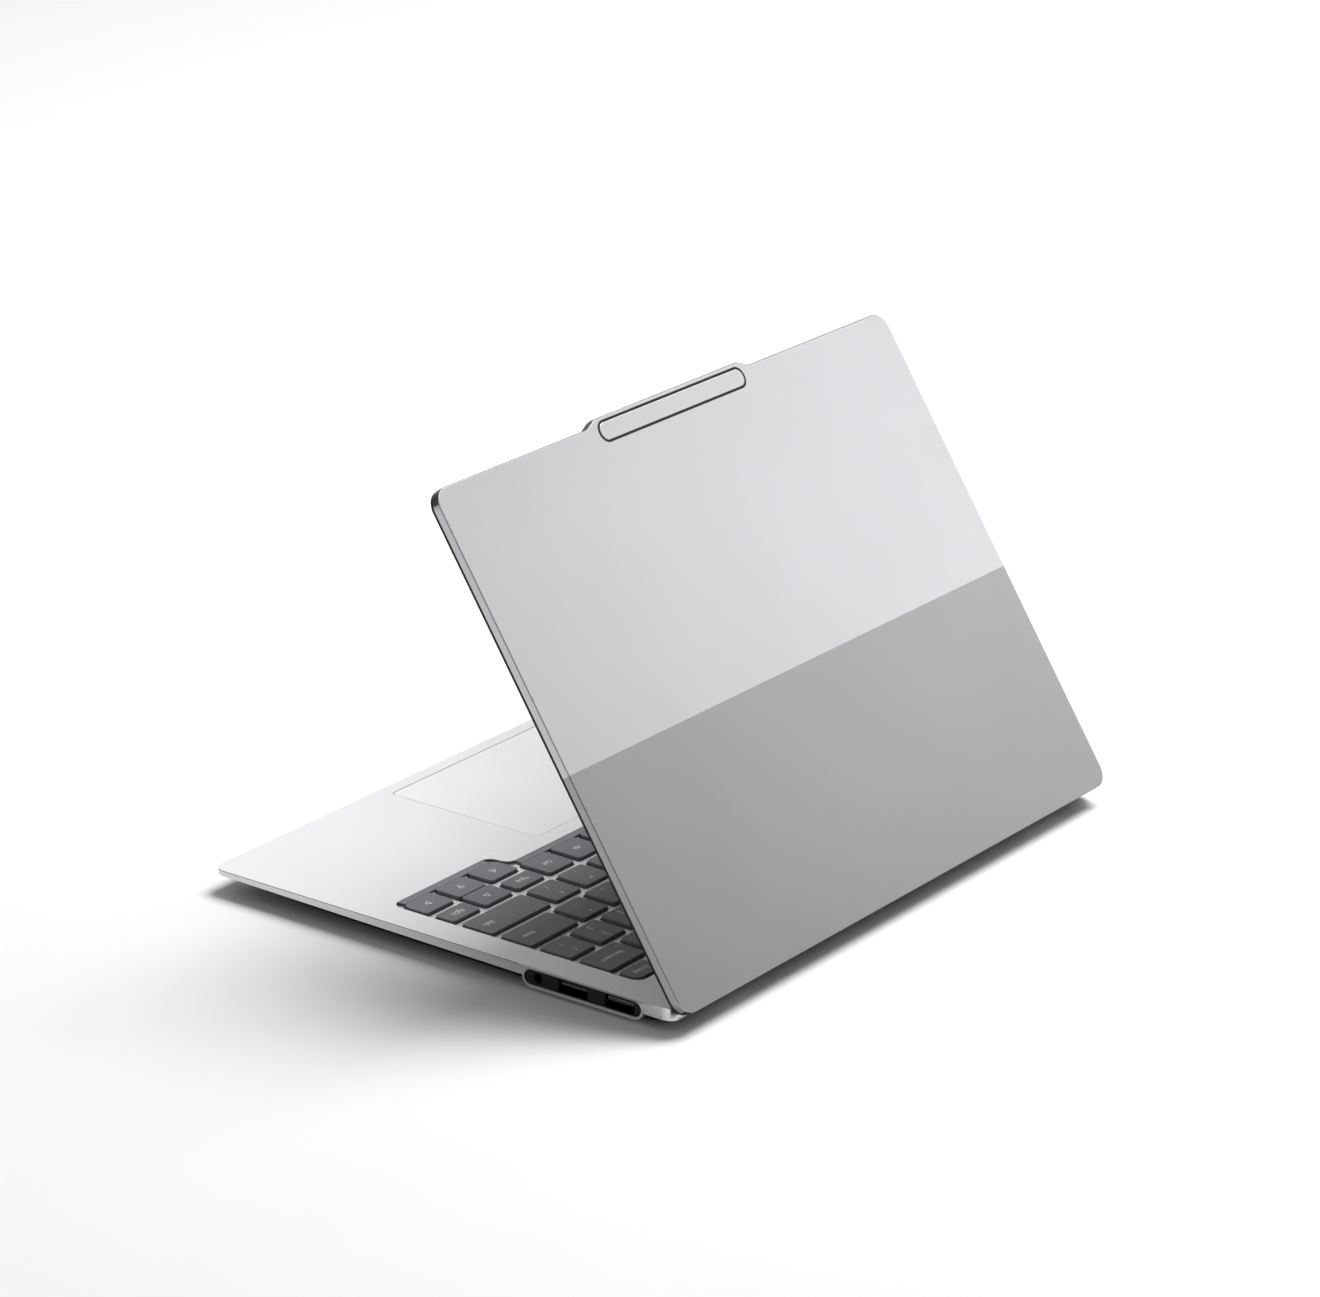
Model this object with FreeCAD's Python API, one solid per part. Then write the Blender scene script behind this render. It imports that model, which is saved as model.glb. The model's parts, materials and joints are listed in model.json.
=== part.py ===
import FreeCAD
import Part
import math
import os

# Thin laptop with an aluminium case. Millimetres. While it is built, y runs from the
# base's front edge (0) to the rear, z from the table (0) up, and x to the user's right.
# The lid is built closed, then opened about its hinge.

# Whole machine
WIDTH = 293.4
LID_HEIGHT = 203.0
LID_SETBACK = 1.0
LID_OVERHANG = 2.8
LID_GAP = 0.5
BASE_THICKNESS = 8.3
FOOT_HEIGHT = 1.2
OPEN_ANGLE = 55.6

# Cuts run this far past a face, and a pill's ends keep this short straight run
OVERSHOOT = 1.0
PILL_RUN = 0.02

# Lid
LID_THICKNESS = 4.2
LID_CORNER = 7.0
LID_EDGE_ROUND = 0.5
LID_SKIN = 0.9
LID_WALL = 1.2
BEZEL_THICKNESS = 1.2
BEZEL_INSET = 0.25
SCREEN_SIDE = 4.05
SCREEN_TOP = 4.5
SCREEN_CHIN = 8.3
GLASS_THICKNESS = 0.9
PANEL_MARGIN = 1.2
PANEL_THICKNESS = 1.8
GASKET_WIDTH = 1.0
GASKET_HEIGHT = 0.25
GASKET_INSET = 0.5
GASKET_END = 14.0

# Camera tab on the lid's top edge
TAB_HALF_TOP = 46.5
TAB_SHOULDER = 6.5
TAB_RISE = 2.6
TAB_FOOT_ROUND = 3.0
TAB_TIP_ROUND = 2.5
TAB_PILL_LENGTH = 95.0
TAB_PILL_WIDTH = 8.7
TAB_PILL_ABOVE = 1.2
TAB_PILL_POCKET = 0.5
TAB_TRIM_WIDTH = 1.0
TAB_TRIM_PROUD = 0.05
TAB_PLATE_PROUD = 0.15
CAMERA_BOARD_LENGTH = 44.0
CAMERA_BOARD_WIDTH = 3.0
CAMERA_RADIUS = 1.6
CAMERA_CLEARANCE = 0.1
CAMERA_DEPTH = 0.5
LENS_THICKNESS = 0.4
LENS_RECESS = 0.1

# Base shells
BASE_CORNER = 5.0
DECK_PLATE = 1.8
RIM_WALL = 1.5
RIM_FRONT = 2.1
RIM_REAR = 4.7
NOSE_RADIUS = 3.3
NOSE_BEAM = 4.6
HULL_STEP = 0.4
HULL_WALL = 1.2
HULL_INSET_FRONT = 24.0
HULL_INSET_REAR = 6.3
HULL_SIDE_FRONT = 10.0
HULL_SIDE_REAR = 4.5
HULL_CORNER_FRONT = 16.0
HULL_CORNER_REAR = 8.0
FOOT_LENGTH = 36.0
FOOT_WIDTH = 7.0
FOOT_SIDE = 46.7
FOOT_FRONT = 46.0
FOOT_REAR = 19.2

# Screws
SCREW_RADIUS = 0.8
SCREW_HEAD_RADIUS = 1.7
SCREW_HEAD_HEIGHT = 0.6
SCREW_HEAD_GAP = 0.15
BOSS_RADIUS = 2.0
BOSS_GAP = 0.2
BOSS_THREAD = 3.0
FRONT_SCREW_SIDE = 22.7
FRONT_SCREW_FRONT = 36.0
MIDDLE_SCREW_REAR = 73.2
REAR_SCREW_SIDE = 58.7
REAR_SCREW_REAR = 10.7

# Hinges
HINGE_SIDE = 50.7
HINGE_SLOT = 24.0
HINGE_SIDE_GAP = 0.3
HINGE_GAP = 0.5
HINGE_WALL = 1.0
KNUCKLE_RADIUS = 3.1
PIN_RADIUS = 1.2
PIN_CLEARANCE = 0.05
PIN_END = 6.0
EYE_RADIUS = 2.1
EYE_WIDTH = 4.0
EYE_CLEARANCE = 0.1
ARM_HALF_HEIGHT = 1.1
BRACKET_LENGTH = 20.0
BRACKET_DEPTH = 10.5
BRACKET_THICKNESS = 1.2
BRACKET_BITE = 1.0
BRACKET_SCREW_SHARES = (0.45, 0.8)
LEAF_THICKNESS = 1.2
LEAF_LENGTH = 38.0
LEAF_HEIGHT = 4.4
LEAF_EDGE = 1.6
LEAF_BITE = 0.5
LEAF_SCREW_SHARES = (0.3, 0.75)
NECK_FRONT = 2.4
NECK_GAP = 0.2

# Keyboard
KEY_SIDE = 15.0
KEY_GAP = 3.3
KEY_UNITS = 14
FULL_ROWS = 5
LOWER_ROW_LETTERS = 10
HOME_ROW_LETTERS = 11
NUMBER_ROW_DIGITS = 12
PALM_REST = 84.6
KEYS_REAR = 21.8
KEY_HEIGHT = 1.4
KEY_PROUD = 0.2
KEY_CORNER = 1.3
KEY_OUTER_CORNER = 3.6
KEY_EDGE = 0.25
KEY_SHELL = 0.9
KEY_ROOF = 0.6
KEY_CLEARANCE = 0.45
KEY_HOLE_CORNER = 1.5
FUNCTION_DEPTH = 8.8
ARROW_COLUMNS = 3
ARROW_UNITS = 1.05
ARROW_DROP = 9.4
ARROW_SPLIT = 0.5
PAGE_KEY_DEPTH = 8.6
GRAVE_UNITS = 0.65
CAPS_UNITS = 1.275
LEFT_SHIFT_UNITS = 1.9
SPACE_UNITS = 5.0
LEFT_MODIFIERS = 4
RIGHT_MODIFIERS = 2
POCKET_DEPTH = 1.15
POCKET_MARGIN = 1.6
POCKET_FRONT = 3.6
POCKET_CORNER = 4.5
PLATE_DROP = 2.6
PLATE_THICKNESS = 0.4
PLATE_WALL = 1.6
PLATE_MARGIN = 2.4
PLATE_CORNER = 3.0
DOME_RADIUS = 2.0
DOME_TOP_RADIUS = 1.2
DOME_HEIGHT = 0.8
POST_RADIUS = 2.0

# Power button
POWER_SIDE = 8.2
POWER_REAR = 12.2
POWER_LENGTH = 14.0
POWER_WIDTH = 4.6
POWER_CLEARANCE = 0.3
POWER_PROUD = 0.1
POWER_FLANGE = 1.0
POWER_FLANGE_THICKNESS = 0.4
POWER_REST_GAP = 0.05
TONGUE_MARGIN = 2.0

# Touchpad
PAD_WIDTH = 120.0
PAD_FRONT = 5.8
PAD_BEHIND = 11.1
PAD_X = -14.5
PAD_THICKNESS = 1.0
PAD_CLEARANCE = 0.25
PAD_CORNER = 2.0
PAD_BRACKET_THICKNESS = 0.6
PAD_BRACKET_MARGIN = 2.0
PAD_PIVOT_LENGTH = 80.0
PAD_PIVOT_EDGE = 4.0
PAD_PIVOT_GAP = 0.05
PAD_SWITCH_RADIUS = 2.5
PAD_SWITCH_HEIGHT = 0.25
PAD_SWITCH_EDGE = 12.0

# Ports on the right side; their places run forward from the hinge axis
PORT_FRONT = 61.4
PORT_REAR = 9.45
PORT_DROP = 3.9
PORT_BOSS_HALF = 4.0
PORT_BOSS_DEPTH = 6.0
PORT_FRAME = 1.15
PORT_FRAME_END = 0.8
PORT_PLATE_RECESS = 0.3
PORT_PLATE_GAP = 0.05
PORT_FLANGE = 1.0
PORT_FLANGE_REACH = 0.5
PORT_HULL_GAP = 0.2
CONNECTOR_GAP = 0.2
CONNECTOR_RECESS = 0.5
JACK_REAR = 54.8
JACK_BORE_RADIUS = 1.75
JACK_HALF = 2.0
JACK_BACK_WALL = 0.8
USB_FRONT = 39.5
USB_REAR = 19.6
USB_WIDTH = 12.2
USB_HEIGHT = 4.6
USB_WALL = 0.25
USB_BACK_WALL = 1.0
USB_RECESS = 0.6
USB_TONGUE_WIDTH = 11.0
USB_TONGUE_THICKNESS = 1.4
USB_TONGUE_RAISE = 0.9
USB_TONGUE_RECESS = 0.6

# Inside the base; places from the rear run forward from the hinge axis
BOARD_FAN_GAP = 5.0
BOARD_FRONT = 97.2
BOARD_REAR = 20.2
BOARD_THICKNESS = 0.8
BOARD_DROP = 4.4
BOARD_POST_EDGE = 6.0
PROCESSOR_SIDE = 31.0
PROCESSOR_REAR = 51.2
PROCESSOR_SIZE = 26.0
CHIP_THICKNESS = 0.8
MEMORY_LENGTH = 14.0
MEMORY_WIDTH = 9.0
MEMORY_PITCH = 12.0
MEMORY_COUNT = 4
CARD_THICKNESS = 1.2
STORAGE_LENGTH = 42.0
STORAGE_WIDTH = 22.0
CARD_GAP = 4.0
CARD_EDGE = 6.3
CARD_FRONT = 8.0
WIRELESS_LENGTH = 30.0
WIRELESS_WIDTH = 22.0
FAN_REAR = 43.7
FAN_SIZE = 50.0
FAN_CORNER = 0.9
FAN_SKIN = 0.45
FAN_RADIUS = 22.0
FAN_FLOOR_GAP = 0.3
FAN_ROTOR_GAP = 0.35
FAN_HUB_RADIUS = 8.5
FAN_POST_RADIUS = 1.2
FAN_POST_CLEARANCE = 0.05
FAN_INLET_RADIUS = 15.0
FAN_BLADES = 19
FAN_BLADE_THICKNESS = 0.6
FAN_BLADE_TIP = 1.5
PIPE_WIDTH = 8.0
PIPE_THICKNESS = 0.9
FIN_LENGTH = 46.0
FIN_DEPTH = 9.0
FIN_HEIGHT = 2.7
FIN_PITCH = 2.0
FIN_THICKNESS = 0.4
FIN_BASE = 0.5
FIN_GAP = 1.2
FIN_SCREW_GAP = 3.0
BATTERY_SIDE = 38.7
BATTERY_FRONT = 27.0
BATTERY_BEHIND = 23.0
BATTERY_HEIGHT = 4.0
BATTERY_CELLS = 4
BATTERY_FRAME = 2.0
BATTERY_CELL_PROUD = 0.3
SPEAKER_SIDE = 22.2
SPEAKER_WIDTH = 16.0
SPEAKER_FRONT = 48.0
SPEAKER_BEHIND = 8.0
SPEAKER_HEIGHT = 3.6
SPEAKER_CORNER = 2.5
VENT_SLOT = 1.6
VENT_PITCH = 4.0
VENT_COUNT = 11
VENT_LENGTH = 34.0
EXHAUST_SLOT = 2.2
EXHAUST_PITCH = 4.4
EXHAUST_COUNT = 32
EXHAUST_HEIGHT = 1.6

# Cable in the lid
CABLE_WIDTH = 2.6
CABLE_THICKNESS = 0.5
CABLE_EDGE = 1.7
CABLE_LENGTH = 75.8
CABLE_PLUG_LENGTH = 12.0

# Places that follow from the sizes above
deck_z = FOOT_HEIGHT + BASE_THICKNESS
under_z = deck_z - DECK_PLATE
floor_z = FOOT_HEIGHT + HULL_WALL
half = WIDTH / 2
axis_y = LID_SETBACK + LID_HEIGHT - LID_OVERHANG
axis_z = deck_z - NOSE_RADIUS
base_depth = axis_y + NOSE_RADIUS
hinge_x = half - HINGE_SIDE
foot_x = half - FOOT_SIDE
foot_rear_y = axis_y - FOOT_REAR
screen_width = WIDTH - 2 * SCREEN_SIDE
screen_height = LID_HEIGHT - SCREEN_CHIN - SCREEN_TOP
tab_half_base = TAB_HALF_TOP + TAB_SHOULDER
lid_front = LID_SETBACK
lid_rear = LID_SETBACK + LID_HEIGHT
lid_in = deck_z + LID_GAP
lid_out = lid_in + LID_THICKNESS
cover_in = lid_in + BEZEL_THICKNESS
skin_in = lid_out - LID_SKIN
port_z = deck_z - PORT_DROP
plate_top = deck_z - PLATE_DROP
plate_bottom = plate_top - PLATE_THICKNESS
board_top = deck_z - BOARD_DROP
board_bottom = board_top - BOARD_THICKNESS
chip_bottom = board_bottom - CHIP_THICKNESS
key_unit = (WIDTH - 2 * KEY_SIDE + KEY_GAP) / KEY_UNITS
key_row = (axis_y - KEYS_REAR - FUNCTION_DEPTH - PALM_REST) / FULL_ROWS
key_top = deck_z + KEY_PROUD
key_bottom = key_top - KEY_HEIGHT
key_depth = key_row - KEY_GAP
keys_width = KEY_UNITS * key_unit - KEY_GAP
keys_left = -keys_width / 2
keys_right = keys_width / 2
function_front = PALM_REST + FULL_ROWS * key_row
keys_rear = function_front + FUNCTION_DEPTH
arrow_front = PALM_REST - ARROW_DROP
arrow_pitch = ARROW_UNITS * key_unit
arrow_left = keys_right + KEY_GAP - ARROW_COLUMNS * arrow_pitch
power_x = keys_right - POWER_SIDE
power_y = axis_y - POWER_REAR
pad_depth = PALM_REST - PAD_FRONT - PAD_BEHIND
port_front_y = axis_y - PORT_FRONT
port_rear_y = axis_y - PORT_REAR
jack_y = axis_y - JACK_REAR
usb_places = {"usb_port_front": axis_y - USB_FRONT, "usb_port_rear": axis_y - USB_REAR}
plate_side = keys_right + PLATE_MARGIN
connector_back = plate_side + CONNECTOR_GAP
boss_side = connector_back + BOSS_GAP + BOSS_RADIUS
fan_x = REAR_SCREW_SIDE - half + BOSS_RADIUS + FIN_SCREW_GAP + FIN_LENGTH / 2
fan_y = axis_y - FAN_REAR
board_left = fan_x + FAN_SIZE / 2 + BOARD_FAN_GAP
board_front = axis_y - BOARD_FRONT
board_rear = axis_y - BOARD_REAR
wireless_x = connector_back - CARD_EDGE - WIRELESS_LENGTH
storage_x = wireless_x - CARD_GAP - STORAGE_LENGTH
card_y = board_front + CARD_FRONT
processor_x = storage_x - PROCESSOR_SIDE
processor_y = axis_y - PROCESSOR_REAR
battery_width = WIDTH - 2 * BATTERY_SIDE
battery_depth = board_front - BATTERY_BEHIND - BATTERY_FRONT
speaker_x = half - SPEAKER_SIDE
speaker_depth = board_front - SPEAKER_BEHIND - SPEAKER_FRONT
nose_end_angle = math.asin((NOSE_RADIUS - RIM_REAR) / NOSE_RADIUS)
nose_end_y = axis_y + NOSE_RADIUS * math.cos(nose_end_angle)
rim_front_z = deck_z - RIM_FRONT
rim_rear_z = deck_z - RIM_REAR
rim_slope = math.degrees(math.atan2(rim_rear_z - rim_front_z, nose_end_y))

parts = {}


def vec(x, y, z):
    return FreeCAD.Vector(x, y, z)


# Basic solids
def box(x0, x1, y0, y1, z0, z1):
    return Part.makeBox(x1 - x0, y1 - y0, z1 - z0, vec(x0, y0, z0))


def rod_x(x0, x1, y, z, radius):
    return Part.makeCylinder(radius, x1 - x0, vec(x0, y, z), vec(1, 0, 0))


def rod_z(x, y, z0, z1, radius):
    return Part.makeCylinder(radius, z1 - z0, vec(x, y, z0), vec(0, 0, 1))


def group(shapes):
    return Part.makeCompound(list(shapes))


# Closed outline of straight runs with a tangent arc at each corner
def outline(corners, radii, z=0.0):
    starts, mids, ends = [], [], []
    count = len(corners)
    for i in range(count):
        here = vec(corners[i][0], corners[i][1], z)
        before = vec(corners[i - 1][0], corners[i - 1][1], z) - here
        after = vec(corners[(i + 1) % count][0], corners[(i + 1) % count][1], z) - here
        before.normalize()
        after.normalize()
        bisector = before + after
        bisector.normalize()
        half_angle = before.getAngle(after) / 2
        run = radii[i] / math.tan(half_angle)
        starts.append(here + before * run)
        ends.append(here + after * run)
        mids.append(here + bisector * (radii[i] / math.sin(half_angle) - radii[i]))
    edges = []
    for i in range(count):
        if radii[i] > 0:
            edges.append(Part.Arc(starts[i], mids[i], ends[i]).toShape())
        edges.append(Part.makeLine(ends[i], starts[(i + 1) % count]))
    return Part.Wire(edges)


def rectangle(x0, x1, y0, y1):
    return [(x0, y0), (x1, y0), (x1, y1), (x0, y1)]


def plate(corners, radii, z0, z1):
    face = Part.Face(outline(corners, radii, z0))
    return face.extrude(vec(0, 0, z1 - z0))


def rounded_box(x0, x1, y0, y1, z0, z1, radius):
    return plate(rectangle(x0, x1, y0, y1), [radius] * 4, z0, z1)


# Flat-sided pill that lies in the y-z plane, for what sits in the base's right side
def side_pill(x0, x1, y0, y1, z, half_height):
    middle = box(x0, x1, y0 + half_height, y1 - half_height, z - half_height, z + half_height)
    front = rod_x(x0, x1, y0 + half_height, z, half_height)
    rear = rod_x(x0, x1, y1 - half_height, z, half_height)
    return middle.fuse([front, rear]).removeSplitter()


def mirrored(shape):
    return shape.mirror(vec(0, 0, 0), vec(1, 0, 0))


# Screw that points up, with its head's lower face at z
def screw(x, y, z, length):
    head = rod_z(x, y, z, z + SCREW_HEAD_HEIGHT, SCREW_HEAD_RADIUS)
    return head.fuse(rod_z(x, y, z, z + SCREW_HEAD_HEIGHT + length, SCREW_RADIUS)).removeSplitter()


# Keyboard layout: each key is (node, x, y, width, depth, corner radii)
def key_rows():
    keys = []

    def lay(row, widths, nodes, depth):
        x = keys_left
        y = PALM_REST + row * key_row
        for width, node in zip(widths, nodes):
            cap = width * key_unit - KEY_GAP
            keys.append((node, x, y, cap, depth, [KEY_CORNER] * 4))
            x += width * key_unit

    left_units = KEY_UNITS - SPACE_UNITS - RIGHT_MODIFIERS - ARROW_COLUMNS * ARROW_UNITS
    bottom = [left_units / LEFT_MODIFIERS] * LEFT_MODIFIERS + [SPACE_UNITS] + [1.0] * RIGHT_MODIFIERS
    bottom_nodes = ["modifier_keys"] * LEFT_MODIFIERS + ["space_bar"] + ["modifier_keys"] * RIGHT_MODIFIERS
    lay(0, bottom, bottom_nodes, key_depth)
    right_shift = KEY_UNITS - LOWER_ROW_LETTERS - LEFT_SHIFT_UNITS
    lower = [LEFT_SHIFT_UNITS] + [1.0] * LOWER_ROW_LETTERS + [right_shift]
    lower_nodes = ["left_shift_key"] + ["lower_row_keys"] * LOWER_ROW_LETTERS + ["right_shift_key"]
    lay(1, lower, lower_nodes, key_depth)
    home = [CAPS_UNITS] + [1.0] * HOME_ROW_LETTERS + [KEY_UNITS - HOME_ROW_LETTERS - CAPS_UNITS]
    lay(2, home, ["home_row_keys"] * (HOME_ROW_LETTERS + 1) + ["enter_key"], key_depth)
    lay(3, [1.0] * KEY_UNITS, ["upper_row_keys"] * KEY_UNITS, key_depth)
    number = [GRAVE_UNITS] + [1.0] * NUMBER_ROW_DIGITS + [KEY_UNITS - NUMBER_ROW_DIGITS - GRAVE_UNITS]
    lay(4, number, ["number_row_keys"] * (NUMBER_ROW_DIGITS + 1) + ["backspace_key"], key_depth)
    function = ["escape_key"] + ["function_keys"] * (KEY_UNITS - 2) + ["delete_key"]
    lay(FULL_ROWS, [1.0] * KEY_UNITS, function, FUNCTION_DEPTH)
    return keys


# Arrow block: two half-height rows in three columns
def arrow_keys():
    cap = arrow_pitch - KEY_GAP
    low_depth = PALM_REST + key_depth - PAGE_KEY_DEPTH - KEY_GAP - arrow_front
    middle_depth = (PALM_REST + key_depth - arrow_front - ARROW_SPLIT) / 2
    page_y = PALM_REST + key_depth - PAGE_KEY_DEPTH
    up_y = arrow_front + middle_depth + ARROW_SPLIT
    left, middle, right = [arrow_left + i * arrow_pitch for i in range(ARROW_COLUMNS)]
    plain = [KEY_CORNER] * 4
    return [
        ("left_arrow_key", left, arrow_front, cap, low_depth, [KEY_OUTER_CORNER] + [KEY_CORNER] * 3),
        ("page_up_key", left, page_y, cap, PAGE_KEY_DEPTH, plain),
        ("down_arrow_key", middle, arrow_front, cap, middle_depth, plain),
        ("up_arrow_key", middle, up_y, cap, middle_depth, plain),
        ("right_arrow_key", right, arrow_front, cap, low_depth,
         [KEY_CORNER, KEY_OUTER_CORNER, KEY_CORNER, KEY_CORNER]),
        ("page_down_key", right, page_y, cap, PAGE_KEY_DEPTH, plain),
    ]


# Keys at the field's own corners have a larger outer corner
def all_keys():
    keys = []
    for node, x, y, width, depth, radii in key_rows():
        radii = list(radii)
        if node == "escape_key":
            radii[3] = KEY_OUTER_CORNER
        if node == "delete_key":
            radii[2] = KEY_OUTER_CORNER
        if node == "modifier_keys" and x == keys_left:
            radii[0] = KEY_OUTER_CORNER
        keys.append((node, x, y, width, depth, radii))
    return keys + arrow_keys()


# Hollow cap with a chamfered top edge
def keycap(x, y, width, depth, radii):
    cap = plate(rectangle(x, x + width, y, y + depth), radii, key_bottom, key_top)
    top_edges = [e for e in cap.Edges if min(v.Z for v in e.Vertexes) > key_top - KEY_EDGE / 2]
    cap = cap.makeChamfer(KEY_EDGE, top_edges)
    inner = box(x + KEY_SHELL, x + width - KEY_SHELL, y + KEY_SHELL, y + depth - KEY_SHELL,
                key_bottom, key_top - KEY_ROOF)
    return cap.cut(inner)


def make_keys():
    caps = {}
    domes = []
    for node, x, y, width, depth, radii in all_keys():
        caps.setdefault(node, []).append(keycap(x, y, width, depth, radii))
        domes.append(Part.makeCone(DOME_RADIUS, DOME_TOP_RADIUS, DOME_HEIGHT,
                                   vec(x + width / 2, y + depth / 2, plate_top)))
    for node, solids in caps.items():
        parts[node] = solids[0] if len(solids) == 1 else group(solids)
    parts["key_domes"] = group(domes)


# Holes for the keys; the up and down arrows share one
def key_holes():
    holes = []
    c = KEY_CLEARANCE
    for node, x, y, width, depth, radii in all_keys():
        if node == "up_arrow_key":
            continue
        if node == "down_arrow_key":
            depth = PALM_REST + key_depth - arrow_front
        grown = [r + KEY_HOLE_CORNER - KEY_CORNER for r in radii]
        holes.append(plate(rectangle(x - c, x + width + c, y - c, y + depth + c), grown,
                           under_z - OVERSHOOT, deck_z))
    return holes


# Field round the keys, with its step in front of the arrow block
def key_field(margin, front, corner, z0, z1):
    corners = [
        (keys_left - margin, PALM_REST - front),
        (arrow_left - margin, PALM_REST - front),
        (arrow_left - margin, arrow_front - front),
        (keys_right + margin, arrow_front - front),
        (keys_right + margin, keys_rear + margin),
        (keys_left - margin, keys_rear + margin),
    ]
    return plate(corners, [corner] * 6, z0, z1)


# Base body above the rim's lower edge, with its half-round rear nose
def deck_block():
    top_rear = vec(0, axis_y, deck_z)
    nose_mid_angle = (math.pi / 2 + nose_end_angle) / 2
    nose_mid = vec(0, axis_y + NOSE_RADIUS * math.cos(nose_mid_angle),
                   axis_z + NOSE_RADIUS * math.sin(nose_mid_angle))
    nose_end = vec(0, nose_end_y, rim_rear_z)
    front_top = vec(0, 0, deck_z)
    front_low = vec(0, 0, rim_front_z)
    profile = Part.Wire([
        Part.makeLine(front_low, front_top),
        Part.makeLine(front_top, top_rear),
        Part.Arc(top_rear, nose_mid, nose_end).toShape(),
        Part.makeLine(nose_end, front_low),
    ])
    side = Part.Face(profile).extrude(vec(WIDTH, 0, 0))
    side.translate(vec(-half, 0, 0))
    plan = rounded_box(-half, half, 0, base_depth, 0, deck_z, BASE_CORNER)
    return plan.common(side)


def hinge_slot(grow, low):
    x0 = hinge_x - grow
    x1 = hinge_x + HINGE_SLOT + grow
    y0 = axis_y - KNUCKLE_RADIUS - HINGE_GAP - grow
    return box(x0, x1, y0, base_depth + OVERSHOOT, low, deck_z + OVERSHOOT)


# Space in the nose for the bracket's eye and arm, and for the pin
def hinge_pocket():
    x0 = hinge_x - EYE_WIDTH - EYE_CLEARANCE
    r = EYE_RADIUS + EYE_CLEARANCE
    eye = rod_x(x0, hinge_x, axis_y, axis_z, r)
    y0 = axis_y - NOSE_BEAM - OVERSHOOT
    below = box(x0, hinge_x, y0, axis_y + r, 0, axis_z)
    arm = box(x0, hinge_x, y0, axis_y, 0, axis_z + ARM_HALF_HEIGHT + EYE_CLEARANCE)
    pin = rod_x(hinge_x, hinge_x + HINGE_SLOT + PIN_END, axis_y, axis_z, PIN_RADIUS)
    return eye.fuse([below, arm, pin])


def bracket_screw_places():
    y = axis_y - NOSE_BEAM - HINGE_GAP - BRACKET_DEPTH / 2
    x = hinge_x - EYE_WIDTH
    return [(x + BRACKET_LENGTH * share, y) for share in BRACKET_SCREW_SHARES]


def bottom_screw_places():
    front = (half - FRONT_SCREW_SIDE, FRONT_SCREW_FRONT)
    middle = (boss_side, axis_y - MIDDLE_SCREW_REAR)
    rear = (half - REAR_SCREW_SIDE, axis_y - REAR_SCREW_REAR)
    return [(side * x, y) for x, y in (front, middle, rear) for side in (1, -1)]


def port_boss(grow):
    return side_pill(half - PORT_BOSS_DEPTH - grow, half + grow, port_front_y - grow, port_rear_y + grow,
                     port_z, PORT_BOSS_HALF + grow)


# Rear flange of the port insert, behind the boss
def port_flange(grow):
    back = half - PORT_BOSS_DEPTH
    low = port_z - PORT_BOSS_HALF + PORT_FRAME - PORT_FLANGE_REACH
    return box(back - PORT_FLANGE - grow, back, port_front_y - grow, port_rear_y + grow, low - grow, under_z)


def port_window(shrink, x0, x1):
    return side_pill(x0, x1, port_front_y + PORT_FRAME_END + shrink, port_rear_y - PORT_FRAME_END - shrink,
                     port_z, PORT_BOSS_HALF - PORT_FRAME - shrink)


def power_hole(grow, z0, z1):
    return rounded_box(power_x - POWER_LENGTH / 2 - grow, power_x + POWER_LENGTH / 2 + grow,
                       power_y - POWER_WIDTH / 2 - grow, power_y + POWER_WIDTH / 2 + grow,
                       z0, z1, POWER_WIDTH / 2 + grow - PILL_RUN)


def pad_outline(grow, z0, z1):
    return rounded_box(PAD_X - PAD_WIDTH / 2 - grow, PAD_X + PAD_WIDTH / 2 + grow,
                       PAD_FRONT - grow, PAD_FRONT + pad_depth + grow, z0, z1, PAD_CORNER + grow)


# Top case: deck plate, rim, port boss, hinge nose and screw bosses
def make_keyboard_deck():
    cavity = rounded_box(-half + RIM_WALL, half - RIM_WALL, RIM_WALL, axis_y - NOSE_BEAM, 0, under_z,
                         BASE_CORNER - RIM_WALL)
    deck = deck_block().cut(cavity)
    boss = port_boss(0).cut(box(0, WIDTH, 0, base_depth, deck_z, deck_z + PORT_BOSS_HALF))
    bosses = [rod_z(x, y, floor_z, under_z, BOSS_RADIUS) for x, y in bottom_screw_places()]
    deck = deck.fuse([boss] + bosses).removeSplitter()
    cuts = [key_field(POCKET_MARGIN, POCKET_FRONT, POCKET_CORNER, deck_z - POCKET_DEPTH, deck_z + OVERSHOOT)]
    cuts += [port_window(0, half - PORT_BOSS_DEPTH - OVERSHOOT, half + OVERSHOOT)]
    cuts += [usb_shell(y, USB_WALL + CONNECTOR_GAP, connector_back - CONNECTOR_GAP, half - PORT_BOSS_DEPTH)
             for y in usb_places.values()]
    cuts += key_holes()
    cuts += [rod_z(x, y, floor_z, floor_z + BOSS_THREAD, SCREW_RADIUS) for x, y in bottom_screw_places()]
    cuts += [power_hole(POWER_CLEARANCE, under_z - OVERSHOOT, deck_z + OVERSHOOT)]
    cuts += [pad_outline(PAD_CLEARANCE, under_z - OVERSHOOT, deck_z + OVERSHOOT)]
    for side in (hinge_slot(0, 0), hinge_pocket()):
        cuts += [side, mirrored(side)]
    for x, y in bracket_screw_places():
        cuts += [rod_z(s * x, y, under_z, under_z + BRACKET_BITE, SCREW_RADIUS) for s in (1, -1)]
    parts["keyboard_deck"] = deck.cut(cuts)


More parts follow.
